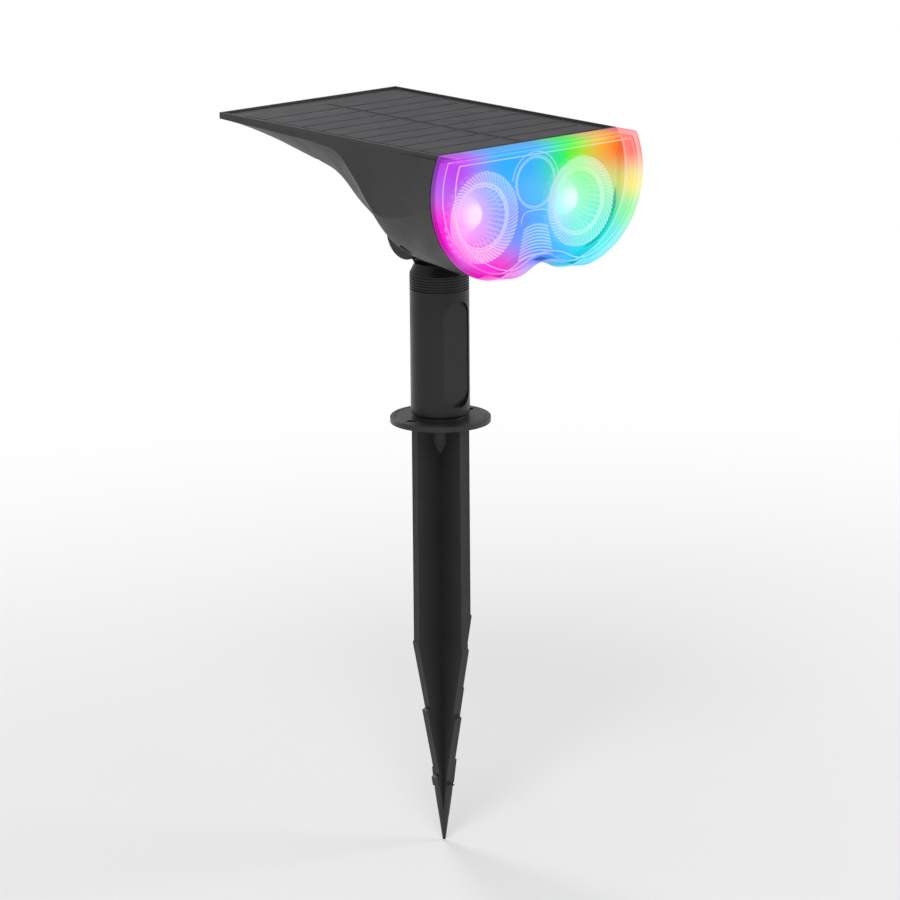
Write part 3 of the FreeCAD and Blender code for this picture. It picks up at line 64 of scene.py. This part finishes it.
class Look:
    """A material under construction: its node tree and its Principled shader."""

    def __init__(self, name):
        self.material = bpy.data.materials.new(name)
        self.material.use_nodes = True
        self.tree = self.material.node_tree
        self.shader = self.tree.nodes["Principled BSDF"]
        coordinates = self.tree.nodes.new("ShaderNodeTexCoord")
        self.place = coordinates.outputs["Object"]

    def set(self, **values):
        for name, value in values.items():
            self.shader.inputs[name.replace("_", " ")].default_value = value
        return self

    def noise(self, scale, detail=4.0, vector=None):
        node = self.tree.nodes.new("ShaderNodeTexNoise")
        node.inputs["Scale"].default_value = scale
        node.inputs["Detail"].default_value = detail
        self.tree.links.new(vector or self.place, node.inputs["Vector"])
        return node.outputs["Fac"]

    def spread(self, value, low, high, from_low=0.3, from_high=0.7):
        """Maps a 0 to 1 signal to the range low to high."""
        node = self.tree.nodes.new("ShaderNodeMapRange")
        node.inputs["From Min"].default_value = from_low
        node.inputs["From Max"].default_value = from_high
        node.inputs["To Min"].default_value = low
        node.inputs["To Max"].default_value = high
        self.tree.links.new(value, node.inputs["Value"])
        return node.outputs["Result"]

    def mix(self, share, first, second):
        """Blends two colours; each is a colour or a socket, and share is a number or a socket."""
        node = self.tree.nodes.new("ShaderNodeMix")
        node.data_type = "RGBA"
        for socket, value in ((node.inputs["Factor"], share), (node.inputs["A"], first),
                              (node.inputs["B"], second)):
            target = socket
            if socket.name in ("A", "B"):
                target = [s for s in node.inputs if s.name == socket.name and s.type == "RGBA"][0]
            if isinstance(value, bpy.types.NodeSocket):
                self.tree.links.new(value, target)
            else:
                target.default_value = value
        return [s for s in node.outputs if s.type == "RGBA"][0]

    def math(self, kind, first, second=0.0):
        node = self.tree.nodes.new("ShaderNodeMath")
        node.operation = kind
        for index, value in enumerate((first, second)):
            if isinstance(value, bpy.types.NodeSocket):
                self.tree.links.new(value, node.inputs[index])
            else:
                node.inputs[index].default_value = value
        return node.outputs["Value"]

    def axis(self, name):
        node = self.tree.nodes.new("ShaderNodeSeparateXYZ")
        self.tree.links.new(self.place, node.inputs["Vector"])
        return node.outputs[name]

    def link(self, socket, name):
        self.tree.links.new(socket, self.shader.inputs[name])
        return self

    def bump(self, height, strength, distance=0.0002):
        node = self.tree.nodes.new("ShaderNodeBump")
        node.inputs["Strength"].default_value = strength
        node.inputs["Distance"].default_value = distance
        self.tree.links.new(height, node.inputs["Height"])
        return self.link(node.outputs["Normal"], "Normal")


def rgba(colour):
    return (*colour, 1.0)


def shade(colour, factor):
    return rgba([min(1.0, channel * factor) for channel in colour])


def textured(name, colour, roughness, grain, strength, variation=0.12, metallic=0.0, **values):
    """Plastic, rubber or metal with a fine grain, slow colour drift and uneven gloss."""
    look = Look(name)
    drift = look.noise(45.0)
    look.link(look.mix(look.spread(drift, 0.0, 1.0), shade(colour, 1 - variation),
                       shade(colour, 1 + variation)), "Base Color")
    smudge = look.noise(120.0, 6.0)
    look.link(look.spread(smudge, roughness - 0.05, roughness + 0.06), "Roughness")
    look.bump(look.noise(grain, 3.0), strength, 0.0001)
    look.set(Metallic=metallic, **values)
    return look.material


# Colour blobs of the lit cover: x and height in metres, reach, colour
GLOW = [
    (-0.054, 0.106, 0.036, (1.00, 0.004, 0.72)),
    (-0.030, 0.084, 0.030, (1.00, 0.004, 0.62)),
    (-0.049, 0.137, 0.026, (0.55, 0.04, 0.84)),
    (-0.019, 0.135, 0.030, (0.03, 0.42, 1.00)),
    (-0.020, 0.110, 0.020, (0.16, 0.20, 1.00)),
    (0.026, 0.119, 0.034, (0.12, 0.92, 0.30)),
    (0.030, 0.096, 0.026, (0.02, 0.88, 0.66)),
    (0.000, 0.101, 0.017, (0.10, 0.46, 0.98)),
    (-0.008, 0.121, 0.014, (0.10, 0.48, 0.95)),
    (-0.001, 0.083, 0.017, (0.07, 0.07, 1.00)),
    (0.018, 0.136, 0.024, (0.01, 0.92, 0.02)),
    (0.038, 0.137, 0.022, (0.95, 0.50, 0.01)),
    (0.055, 0.134, 0.023, (1.00, 0.03, 0.01)),
    (0.054, 0.116, 0.018, (0.95, 0.78, 0.03)),
    (0.052, 0.102, 0.017, (0.10, 0.90, 0.18)),
    (0.038, 0.086, 0.024, (0.01, 0.80, 0.84)),
    (0.020, 0.079, 0.020, (0.01, 0.62, 0.95)),
]
CELL_PITCH = 0.01407
FIRST_SEAM = -0.0578
KNURLS = 66
KNURL_STEPS = 8
KNURL_SLANT = 38.0
BEZEL_OUTER = 0.0209
LAMP_X = 0.0294
LAMP_Z = 0.1107

# Lamp pieces: widths, radii and places forward of the reflector's face, in metres
BEZEL_WIDTH = 0.0054
CUP_RINGS = ((0.0154, 0.00045), (0.0142, 0.00035))
CUP_RIBS = 48
DOME_RADIUS = 0.0074
DOME_FOOT = -0.0116
DOME_EDGE = -0.0106
DOME_TOP = -0.0048
DOME_STEPS = 12
CENTRE_GAP = 0.0001


def glow_colour(look):
    """Rainbow of the lit cover as a colour socket, set by place on the object."""
    flat = look.tree.nodes.new("ShaderNodeCombineXYZ")
    look.tree.links.new(look.axis("X"), flat.inputs["X"])
    look.tree.links.new(look.axis("Z"), flat.inputs["Z"])
    colour = rgba((0.06, 0.40, 0.98))
    for x, height, reach, blob in GLOW:
        distance = look.tree.nodes.new("ShaderNodeVectorMath")
        distance.operation = "DISTANCE"
        look.tree.links.new(flat.outputs["Vector"], distance.inputs[0])
        distance.inputs[1].default_value = (x, 0.0, height)
        near = look.tree.nodes.new("ShaderNodeMapRange")
        near.interpolation_type = "SMOOTHSTEP"
        near.inputs["From Min"].default_value = reach
        near.inputs["From Max"].default_value = reach * 0.1
        look.tree.links.new(distance.outputs["Value"], near.inputs["Value"])
        colour = look.mix(near.outputs["Result"], colour, rgba(blob))
    return colour


def lamp_polar(look):
    """Distance and angle from the nearer lamp's axis, as sockets."""
    x = look.math("SUBTRACT", look.math("ABSOLUTE", look.axis("X")), LAMP_X)
    z = look.math("SUBTRACT", look.axis("Z"), LAMP_Z)
    radius = look.math("SQRT", look.math("ADD", look.math("MULTIPLY", x, x), look.math("MULTIPLY", z, z)))
    return radius, look.math("ARCTAN2", z, x)


def glowing(look, colour, dim, strength):
    """Sets a colour as the shader's dimmed base and as its glow."""
    look.link(look.mix(dim, colour, rgba((0.0, 0.0, 0.0))), "Base Color")
    look.link(colour, "Emission Color")
    look.set(Emission_Strength=strength)
    return look


def lit(name, strength, pale, dim=0.88, **values):
    """Plastic that glows with the rainbow, paler where pale is higher."""
    look = Look(name).set(Specular_IOR_Level=0.12)
    glowing(look, look.mix(pale, glow_colour(look), rgba((1.0, 1.0, 1.0))), dim, strength)
    look.link(look.spread(look.noise(160.0), 0.06, 0.16), "Roughness")
    look.bump(look.noise(500.0), 0.05, 0.0001)
    return look.set(**values)


def clear(name, strength, pale, face_alpha, edge_alpha, **values):
    """Clear glowing plastic, denser where it is seen edge on."""
    look = lit(name, strength, pale, 0.92, IOR=1.49, **values)
    weight = look.tree.nodes.new("ShaderNodeLayerWeight")
    weight.inputs["Blend"].default_value = 0.35
    look.link(look.spread(weight.outputs["Facing"], face_alpha, edge_alpha, 0.0, 1.0), "Alpha")
    return look.material


def reflector_look(name):
    """Metallised cup: painted reflections as pale streaks down the cone and a painted pool of lamp light at
    the core, with the rainbow over it.
    """
    look = Look(name)
    radius, angle = lamp_polar(look)
    streak = look.math("SINE", look.math("MULTIPLY", angle, 34.0))
    fine = look.math("SINE", look.math("MULTIPLY", angle, 91.0))
    # Painted reflection: pale streaks along the facets of the cone where the lamp light would glint.
    painted_facet_glint = look.spread(look.math("ADD", streak, look.math("MULTIPLY", fine, 0.5)), 0.0, 0.70, -1.4, 1.4)
    # Painted pool of lamp light, palest at the lamp's axis.
    core = look.spread(radius, 0.80, 0.0, 0.0072, 0.0160)
    pale = look.math("MAXIMUM", painted_facet_glint, core)
    glowing(look, look.mix(pale, glow_colour(look), rgba((1.0, 1.0, 1.0))), 0.85, 0.95)
    look.link(look.spread(look.noise(160.0), 0.12, 0.22), "Roughness")
    look.bump(streak, 0.25, 0.0002)
    return look.set(Metallic=0.3).material


def bezel_look(name):
    """Ribbed bezel: painted highlights make the rib crests pale, with the rainbow in the grooves between
    them.
    """
    look = Look(name).set(Specular_IOR_Level=0.3)
    radius, angle = lamp_polar(look)
    lean = look.math("MULTIPLY", look.math("SUBTRACT", BEZEL_OUTER, radius), KNURL_SLANT)
    rib = look.math("COSINE", look.math("MULTIPLY", look.math("SUBTRACT", angle, lean), float(KNURLS)))
    # Painted highlight on the rib crests, following the ribs of the geometry.
    pale = look.spread(rib, 0.32, 0.94, -0.6, 0.7)
    glowing(look, look.mix(pale, glow_colour(look), rgba((1.0, 1.0, 1.0))), 0.85, 0.92)
    look.link(look.spread(look.noise(160.0), 0.12, 0.22), "Roughness")
    return look.material


def core_look(name):
    """Lamp lens: white hot in the middle, tinted at its edge."""
    look = Look(name)
    radius, angle = lamp_polar(look)
    tint = look.spread(radius, 0.0, 0.62, 0.0030, 0.0076)
    colour = look.mix(tint, rgba((1.0, 1.0, 1.0)), glow_colour(look))
    glowing(look, colour, 0.3, 1.12)
    look.link(look.spread(look.noise(300.0), 0.05, 0.12), "Roughness")
    look.bump(look.math("SINE", look.math("MULTIPLY", angle, 24.0)), 0.15, 0.0002)
    return look.material


def silicon(name):
    """Dark violet-grey cells with fine fingers, darker at the seams between rows and columns."""
    look = Look(name).set(Specular_IOR_Level=0.15)
    drift = look.noise(60.0, 1.0)
    base = look.mix(look.spread(drift, 0.0, 1.0), rgba((0.050, 0.048, 0.056)), rgba((0.058, 0.056, 0.064)))
    stripe = look.math("SINE", look.math("MULTIPLY", look.axis("X"), 2600.0))
    base = look.mix(look.spread(stripe, 0.0, 0.10, 0.86, 1.0), base, rgba((0.16, 0.16, 0.18)))
    to_seam = look.math("PINGPONG", look.math("SUBTRACT", look.axis("Y"), FIRST_SEAM), CELL_PITCH / 2)
    row_seam = look.spread(to_seam, 0.85, 0.0, 0.0006, 0.0011)
    column_seam = look.spread(look.math("ABSOLUTE", look.axis("X")), 0.85, 0.0, 0.0017, 0.0022)
    seam = look.math("MAXIMUM", row_seam, column_seam)
    look.link(look.mix(seam, base, rgba((0.012, 0.012, 0.013))), "Base Color")
    look.link(look.spread(look.noise(90.0), 0.42, 0.52), "Roughness")
    look.bump(stripe, 0.01, 0.0001)
    return look.material


# ---------------------------------------------------------------- materials of the CAD nodes

LOOKS = {
    "housing_abs": textured("housing_abs", (0.038, 0.038, 0.037), 0.50, 2400.0, 0.28, 0.08),
    "black_abs": textured("black_abs", (0.016, 0.016, 0.018), 0.36, 1500.0, 0.12),
    "black_steel": textured("black_steel", (0.03, 0.03, 0.032), 0.38, 900.0, 0.10, metallic=0.8),
    "steel": textured("steel", (0.60, 0.60, 0.61), 0.30, 700.0, 0.10, metallic=1.0),
    "nylon": textured("nylon", (0.045, 0.045, 0.046), 0.45, 900.0, 0.10),
    "nickel": textured("nickel", (0.68, 0.66, 0.60), 0.28, 700.0, 0.10, metallic=1.0),
    "clear_lens": clear("clear_lens", 1.0, 0.0, 0.16, 0.94),
    # Painted highlight: moulded lines on the cover and plate glow pale.
    "cover_line": clear("cover_line", 1.0, 0.68, 0.70, 0.95),
    "optic": clear("optic", 0.98, 0.0, 0.40, 0.85, Specular_IOR_Level=0.03),
    "bezel": bezel_look("bezel"),
    # Painted highlight: the cup's double ring glows almost white.
    "ring_line": lit("ring_line", 1.0, 0.90).material,
    "lamp_core": core_look("lamp_core"),
    "clear_panel": textured("clear_panel", (0.30, 0.30, 0.34), 0.12, 800.0, 0.04, Alpha=0.20, IOR=1.5),
    "panel_backing": textured("panel_backing", (0.010, 0.010, 0.012), 0.45, 600.0, 0.02),
    "solar_cell": silicon("solar_cell"),
    "seal_rubber": textured("seal_rubber", (0.02, 0.02, 0.02), 0.75, 1200.0, 0.20),
    "button_rubber": textured("button_rubber", (0.03, 0.03, 0.03), 0.70, 1200.0, 0.20),
    "white_plastic": lit("white_plastic", 0.85, 0.04).material,
    "reflector": reflector_look("reflector"),
    "led": textured("led", (0.95, 0.92, 0.80), 0.20, 500.0, 0.05, 0.03,
                    Emission_Color=(1.0, 0.96, 0.85, 1.0), Emission_Strength=3.0),
    "circuit_board": textured("circuit_board", (0.02, 0.12, 0.05), 0.40, 700.0, 0.10),
    "chip_black": textured("chip_black", (0.02, 0.02, 0.02), 0.50, 900.0, 0.10),
    "battery_can": textured("battery_can", (0.10, 0.25, 0.55), 0.35, 500.0, 0.05),
    "lead_red": textured("lead_red", (0.50, 0.03, 0.03), 0.50, 700.0, 0.10),
}

NODE_LOOKS = {
    "ground_stake": textured("stake_abs", (0.015, 0.015, 0.016), 0.50, 1300.0, 0.22),
    "pole": textured("pole_abs", (0.012, 0.012, 0.013), 0.30, 1700.0, 0.05, 0.10, 0.2),
    "swivel_neck": textured("neck_abs", (0.012, 0.012, 0.013), 0.32, 1700.0, 0.05, 0.10, 0.2),
    # Painted light: the carrier's screws glow with the lit plastic's rainbow, though they are no lamp.
    "carrier_screws": LOOKS["white_plastic"],
    "panel_cover": textured("panel_sheet", (0.05, 0.05, 0.055), 0.30, 40.0, 0.002, 0.04,
                            Alpha=0.06, IOR=1.2),
}
for node_name, node in NODES.items():
    node.data.materials.clear()
    node.data.materials.append(NODE_LOOKS.get(node_name, LOOKS[SLOT_OF[node_name]]))


# ---------------------------------------------------------------- detailed pieces

def mesh_piece(name, vertices, faces, look, slot, body, smooth=True):
    mesh = bpy.data.meshes.new(name)
    mesh.from_pydata(vertices, [], faces)
    shaper = bmesh.new()
    shaper.from_mesh(mesh)
    bmesh.ops.recalc_face_normals(shaper, faces=shaper.faces)
    shaper.to_mesh(mesh)
    shaper.free()
    for polygon in mesh.polygons:
        polygon.use_smooth = smooth
    piece = bpy.data.objects.new(name, mesh)
    bpy.context.scene.collection.objects.link(piece)
    piece.data.materials.append(LOOKS[look])
    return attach(piece, body)


def turned(centre, profile, count, wave=0.0, waves=0, slant=0.0):
    """Closed (radius, forward, ripple share) profile turned about a line along Y, as vertices and faces."""
    vertices = []
    faces = []
    size = len(profile)
    outermost = max(radius for radius, _, _ in profile)
    for step in range(count):
        turn = 2 * math.pi * step / count
        ripple = wave * (0.5 + 0.5 * math.cos(waves * turn))
        for radius, forward, share in profile:
            angle = turn + slant * (outermost - radius)
            vertices.append((centre.x + radius * math.cos(angle), centre.y - forward - ripple * share,
                             centre.z + radius * math.sin(angle)))
    for step in range(count):
        following = (step + 1) % count
        for index in range(size):
            after = (index + 1) % size
            faces.append((step * size + index, step * size + after,
                          following * size + after, following * size + index))
    return vertices, faces


def tubes(lines, sides=8):
    """Round tubes along lines in planes across Y; each line is (points, radius, closed)."""
    vertices = []
    faces = []
    for points, radius, closed in lines:
        base = len(vertices)
        count = len(points)
        for index, point in enumerate(points):
            before = points[index - 1] if closed or index > 0 else point
            after = points[(index + 1) % count] if closed or index < count - 1 else point
            along = (after - before).normalized()
            across = along.cross(Vector((0, 1, 0))).normalized()
            for side in range(sides):
                turn = 2 * math.pi * side / sides
                way = across * math.cos(turn) + Vector((0, 1, 0)) * math.sin(turn)
                vertices.append(point + way * radius)
        for index in range(count if closed else count - 1):
            following = (index + 1) % count
            for side in range(sides):
                after = (side + 1) % sides
                faces.append((base + index * sides + side, base + index * sides + after,
                              base + following * sides + after, base + following * sides + side))
        if not closed:
            faces.append(tuple(base + side for side in range(sides)))
            faces.append(tuple(base + (count - 1) * sides + side for side in range(sides)))
    return vertices, faces


def arc_points(x, z, radius, start, end, y, count):
    """Points on an arc in a plane across Y; start and end are degrees from +X."""
    points = []
    for step in range(count + 1):
        angle = math.radians(start + (end - start) * step / count)
        points.append(Vector((x + radius * math.cos(angle), y, z + radius * math.sin(angle))))
    return points


# The cover's front outline, as on the CAD: half width, side arc, lobes and dip
HALF_WIDTH = 0.05435
SIDE_X = 0.0170
SIDE_DROP = 0.0196
LOBE_RADIUS = 0.0200
LOBE_ANGLE = math.radians(13.0)
DIP_RISE = 0.0057
HEAD_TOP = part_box("lens_cover")[1].z


def outline(inset, lift, y, steps=14):
    """Closed line along the cover's outline, set in all round and lifted below."""
    drop = SIDE_DROP - lift
    full = math.hypot(HALF_WIDTH - SIDE_X, drop)
    lobe_x = SIDE_X + (full - LOBE_RADIUS) * math.sin(LOBE_ANGLE)
    lobe_drop = drop + (full - LOBE_RADIUS) * math.cos(LOBE_ANGLE)
    depth = lobe_drop + LOBE_RADIUS
    rise = LOBE_RADIUS - DIP_RISE
    dip = (lobe_x ** 2 + rise ** 2 - LOBE_RADIUS ** 2) / (2 * DIP_RISE)
    dip_centre = depth - DIP_RISE + dip
    side = full - inset
    start = math.asin((drop - inset) / side)
    half = []
    for step in range(steps * 2):
        angle = start + (-(math.pi / 2 - LOBE_ANGLE) - start) * step / (steps * 2)
        half.append((SIDE_X + side * math.cos(angle), drop - side * math.sin(angle)))
    keel = math.atan2(lobe_x, dip_centre - lobe_drop)
    first = -(math.pi / 2 - LOBE_ANGLE)
    last = -math.pi / 2 - keel
    lobe = LOBE_RADIUS - inset
    for step in range(steps):
        angle = first + (last - first) * step / steps
        half.append((lobe_x + lobe * math.cos(angle), lobe_drop - lobe * math.sin(angle)))
    for step in range(steps // 2):
        angle = keel * (1 - 2 * step / steps)
        half.append(((dip + inset) * math.sin(angle), dip_centre - (dip + inset) * math.cos(angle)))
    mirrored = [(-x, down) for x, down in half[::-1]]
    middle = [(0.0, depth - DIP_RISE - inset)]
    return [Vector((x, y, HEAD_TOP - down)) for x, down in half + middle + mirrored]


# Ribbed bezels with painted highlights on their ribs, cup rings drawn as painted highlight lines, and lamp
# lenses
for side, mirror in (("left", -1), ("right", 1)):
    low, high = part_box(f"reflector_{side}")
    middle = (low + high) / 2
    face = Vector((middle.x, low.y, middle.z))
    outer = BEZEL_OUTER
    inner = outer - BEZEL_WIDTH
    vertices, faces = turned(face, [(outer, -0.0006, 0), (outer, 0.0001, 1), (inner, -0.0008, 1),
                                    (inner, -0.0016, 0)], KNURLS * KNURL_STEPS, 0.0006, KNURLS,
                             KNURL_SLANT * mirror)
    mesh_piece(f"bezel_ribs_{side}", vertices, faces, "bezel", "reflector", "head")
    ring = []
    for radius, size in CUP_RINGS:
        points = arc_points(middle.x, middle.z, radius, 0, 360, low.y + 0.0006, 96)[:-1]
        ring.append((points, size, True))
    mesh_piece(f"cup_rings_{side}", *tubes(ring), "ring_line", "reflector", "head")
    vertices, faces = turned(face, [(0.0138, -0.0016, 0), (0.0138, -0.0010, 1), (0.0124, -0.0026, 1),
                                    (0.0124, -0.0032, 0)], CUP_RIBS * KNURL_STEPS, 0.0005, CUP_RIBS)
    mesh_piece(f"cup_ribs_{side}", vertices, faces, "reflector", "reflector", "head")
    dome = [(DOME_RADIUS, DOME_FOOT, 0), (DOME_RADIUS, DOME_EDGE, 0)]
    for step in range(1, DOME_STEPS):
        angle = math.pi / 2 * step / DOME_STEPS
        forward = DOME_EDGE + (DOME_TOP - DOME_EDGE) * math.sin(angle)
        dome.append((DOME_RADIUS * math.cos(angle), forward, 0))
    dome += [(CENTRE_GAP, DOME_TOP, 0), (CENTRE_GAP, DOME_FOOT, 0)]
    vertices, faces = turned(face, dome, 64)
    mesh_piece(f"lamp_dome_{side}", vertices, faces, "lamp_core", "led", "head")

# Moulded optic plate behind the cover, open over both lamps
PLATE_Y = -0.0672
PLATE_THICK = 0.0008
HOLE_RADIUS = 0.0217
plate_mesh = bpy.data.meshes.new("optic_plate")
shaper = bmesh.new()
loops = [outline(0.0036, 0.0006, PLATE_Y)]
for x in (-LAMP_X, LAMP_X):
    loops.append(arc_points(x, LAMP_Z, HOLE_RADIUS, 0, 360, PLATE_Y, 72)[:-1])
for loop in loops:
    corners = [shaper.verts.new(point) for point in loop]
    for index, corner in enumerate(corners):
        shaper.edges.new((corner, corners[(index + 1) % len(corners)]))
bmesh.ops.triangle_fill(shaper, use_beauty=True, edges=shaper.edges[:])
bmesh.ops.recalc_face_normals(shaper, faces=shaper.faces[:])
bmesh.ops.solidify(shaper, geom=shaper.faces[:], thickness=PLATE_THICK)
shaper.to_mesh(plate_mesh)
shaper.free()
plate = bpy.data.objects.new("optic_plate", plate_mesh)
bpy.context.scene.collection.objects.link(plate)
plate.data.materials.append(LOOKS["optic"])
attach(plate, "head")

# Lines moulded on the plate, drawn pale as painted highlights: the top circle, the arc over it, the bridge
# between the lamps
CIRCLE_Z = 0.1237
LINE_Y = PLATE_Y - 0.0004
lines = [(arc_points(0, CIRCLE_Z, radius, 0, 360, LINE_Y, 72)[:-1], 0.00022, True)
         for radius in (0.0112, 0.0120)]
lines.append((arc_points(0, CIRCLE_Z, 0.0140, 8, 172, LINE_Y, 48), 0.00022, False))
BRIDGE = [(-0.0088, 0.1050), (-0.0084, 0.1078), (-0.0070, 0.1098), (-0.0045, 0.1106), (0.0, 0.1108),
          (0.0045, 0.1106), (0.0070, 0.1098), (0.0084, 0.1078), (0.0088, 0.1050)]
lines.append(([Vector((x, LINE_Y, z)) for x, z in BRIDGE], 0.00024, False))
mesh_piece("optic_lines", *tubes(lines), "cover_line", "clear_lens", "head")

# Fan of arched ribs at the waist, drawn pale as painted highlights
WAIST_RIBS = 10
ribs = []
for rib in range(WAIST_RIBS):
    share = rib / (WAIST_RIBS - 1)
    half = 0.0072 + 0.0034 * share
    height = 0.1040 - 0.0135 * share
    points = []
    for step in range(13):
        across = -1 + 2 * step / 12
        points.append(Vector((half * across, LINE_Y, height - 0.0018 * across ** 2)))
    ribs.append((points, 0.00038, False))
mesh_piece("waist_ribs", *tubes(ribs), "cover_line", "clear_lens", "head")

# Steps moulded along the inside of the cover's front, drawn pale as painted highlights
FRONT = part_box("lens_cover")[0].y
borders = [(outline(0.0034, 0.0022, FRONT + 0.0027), 0.00030, True),
           (outline(0.0030, 0.0006, FRONT + 0.0100), 0.00028, True)]
mesh_piece("cover_steps", *tubes(borders), "cover_line", "clear_lens", "head")


# ---------------------------------------------------------------- floor, lights and camera

FADE_NEAR = 0.25
FADE_FAR = 0.95
FLOOR_REACH = 6.0
FLOOR_DROP = 0.0005
SKY_ON_OBJECT = 0.45
SKY_SEEN = 1.0
LIGHTS = (("key", (-1.0, -0.9, 1.3), (0.0, 0.0, 0.0), 0.9, 14.0),
          ("fill", (1.2, -0.8, 0.7), (0.0, 0.0, 0.0), 0.9, 7.0),
          ("rim", (0.3, 1.3, 1.0), (0.0, 0.0, 0.05), 0.8, 9.0))


def unlit_share(tree):
    """1 for rays that the camera or a clear piece sends, else 0."""
    paths = tree.nodes.new("ShaderNodeLightPath")
    either = tree.nodes.new("ShaderNodeMath")
    either.operation = "MAXIMUM"
    tree.links.new(paths.outputs["Is Camera Ray"], either.inputs[0])
    tree.links.new(paths.outputs["Is Transmission Ray"], either.inputs[1])
    return either.outputs["Value"]


def stage_look(name, colour):
    """Pale studio floor that fades to white away from the object."""
    look = Look(name)
    tree = look.tree
    drift = look.spread(look.noise(3.0), 0.0, 1.0)
    look.link(look.mix(drift, shade(colour, 0.99), shade(colour, 1.01)), "Base Color")
    look.set(Roughness=0.9)
    distance = tree.nodes.new("ShaderNodeVectorMath")
    distance.operation = "LENGTH"
    tree.links.new(look.place, distance.inputs[0])
    fade = tree.nodes.new("ShaderNodeMapRange")
    fade.interpolation_type = "SMOOTHSTEP"
    fade.inputs["From Min"].default_value = FADE_NEAR
    fade.inputs["From Max"].default_value = FADE_FAR
    tree.links.new(distance.outputs["Value"], fade.inputs["Value"])
    glow = tree.nodes.new("ShaderNodeEmission")
    blend = tree.nodes.new("ShaderNodeMixShader")
    tree.links.new(look.math("MULTIPLY", fade.outputs["Result"], unlit_share(tree)), blend.inputs["Fac"])
    tree.links.new(look.shader.outputs["BSDF"], blend.inputs[1])
    tree.links.new(glow.outputs["Emission"], blend.inputs[2])
    tree.links.new(blend.outputs["Shader"], tree.nodes["Material Output"].inputs["Surface"])
    return look.material


floor_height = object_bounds()[0].z - FLOOR_DROP
floor_mesh = bpy.data.meshes.new("floor")
corners = [(x * FLOOR_REACH, y * FLOOR_REACH, floor_height)
           for x, y in ((-1, -1), (1, -1), (1, 1), (-1, 1))]
floor_mesh.from_pydata(corners, [], [(0, 1, 2, 3)])
floor = bpy.data.objects.new("floor", floor_mesh)
bpy.context.scene.collection.objects.link(floor)
floor.data.materials.append(stage_look("floor", (0.86, 0.86, 0.86)))

world = bpy.data.worlds.new("studio")
world.use_nodes = True
bpy.context.scene.world = world
tree = world.node_tree
strength = tree.nodes.new("ShaderNodeMapRange")
strength.inputs["To Min"].default_value = SKY_ON_OBJECT
strength.inputs["To Max"].default_value = SKY_SEEN
tree.links.new(unlit_share(tree), strength.inputs["Value"])
background = tree.nodes["Background"]
background.inputs["Color"].default_value = (1.0, 1.0, 1.0, 1.0)
tree.links.new(strength.outputs["Result"], background.inputs["Strength"])


def area_light(name, place, target, size, power):
    light = bpy.data.lights.new(name, "AREA")
    light.size = size
    light.energy = power
    lamp = bpy.data.objects.new(name, light)
    lamp.location = place
    lamp.rotation_mode = "QUATERNION"
    lamp.rotation_quaternion = (Vector(target) - Vector(place)).to_track_quat("-Z", "Y")
    bpy.context.scene.collection.objects.link(lamp)


for light in LIGHTS:
    area_light(*light)

# Camera fitted to the object's frame: azimuth, elevation and roll in degrees, lengths in metres
AZIMUTH = math.radians(-40.77)
ELEVATION = math.radians(14.25)
ROLL = math.radians(-0.47)
DISTANCE = 2.03561
SHIFT_RIGHT = 0.00435
TARGET_HEIGHT = -0.01433
LENS_MM = 172.3

back = Vector((math.sin(AZIMUTH) * math.cos(ELEVATION), -math.cos(AZIMUTH) * math.cos(ELEVATION),
               math.sin(ELEVATION)))
right = Vector((math.cos(AZIMUTH), math.sin(AZIMUTH), 0.0))
target = Vector((0.0, 0.0, TARGET_HEIGHT)) + right * SHIFT_RIGHT
camera_data = bpy.data.cameras.new("camera")
camera_data.sensor_width = 36.0
camera_data.lens = LENS_MM
camera_data.clip_start = 0.01
camera_data.clip_end = 100.0
camera = bpy.data.objects.new("camera", camera_data)
camera.location = target + back * DISTANCE
camera.rotation_mode = "QUATERNION"
camera.rotation_quaternion = Quaternion(back, ROLL) @ (-back).to_track_quat("-Z", "Y")
bpy.context.scene.collection.objects.link(camera)
bpy.context.scene.camera = camera
bpy.context.scene.view_settings.view_transform = "Standard"
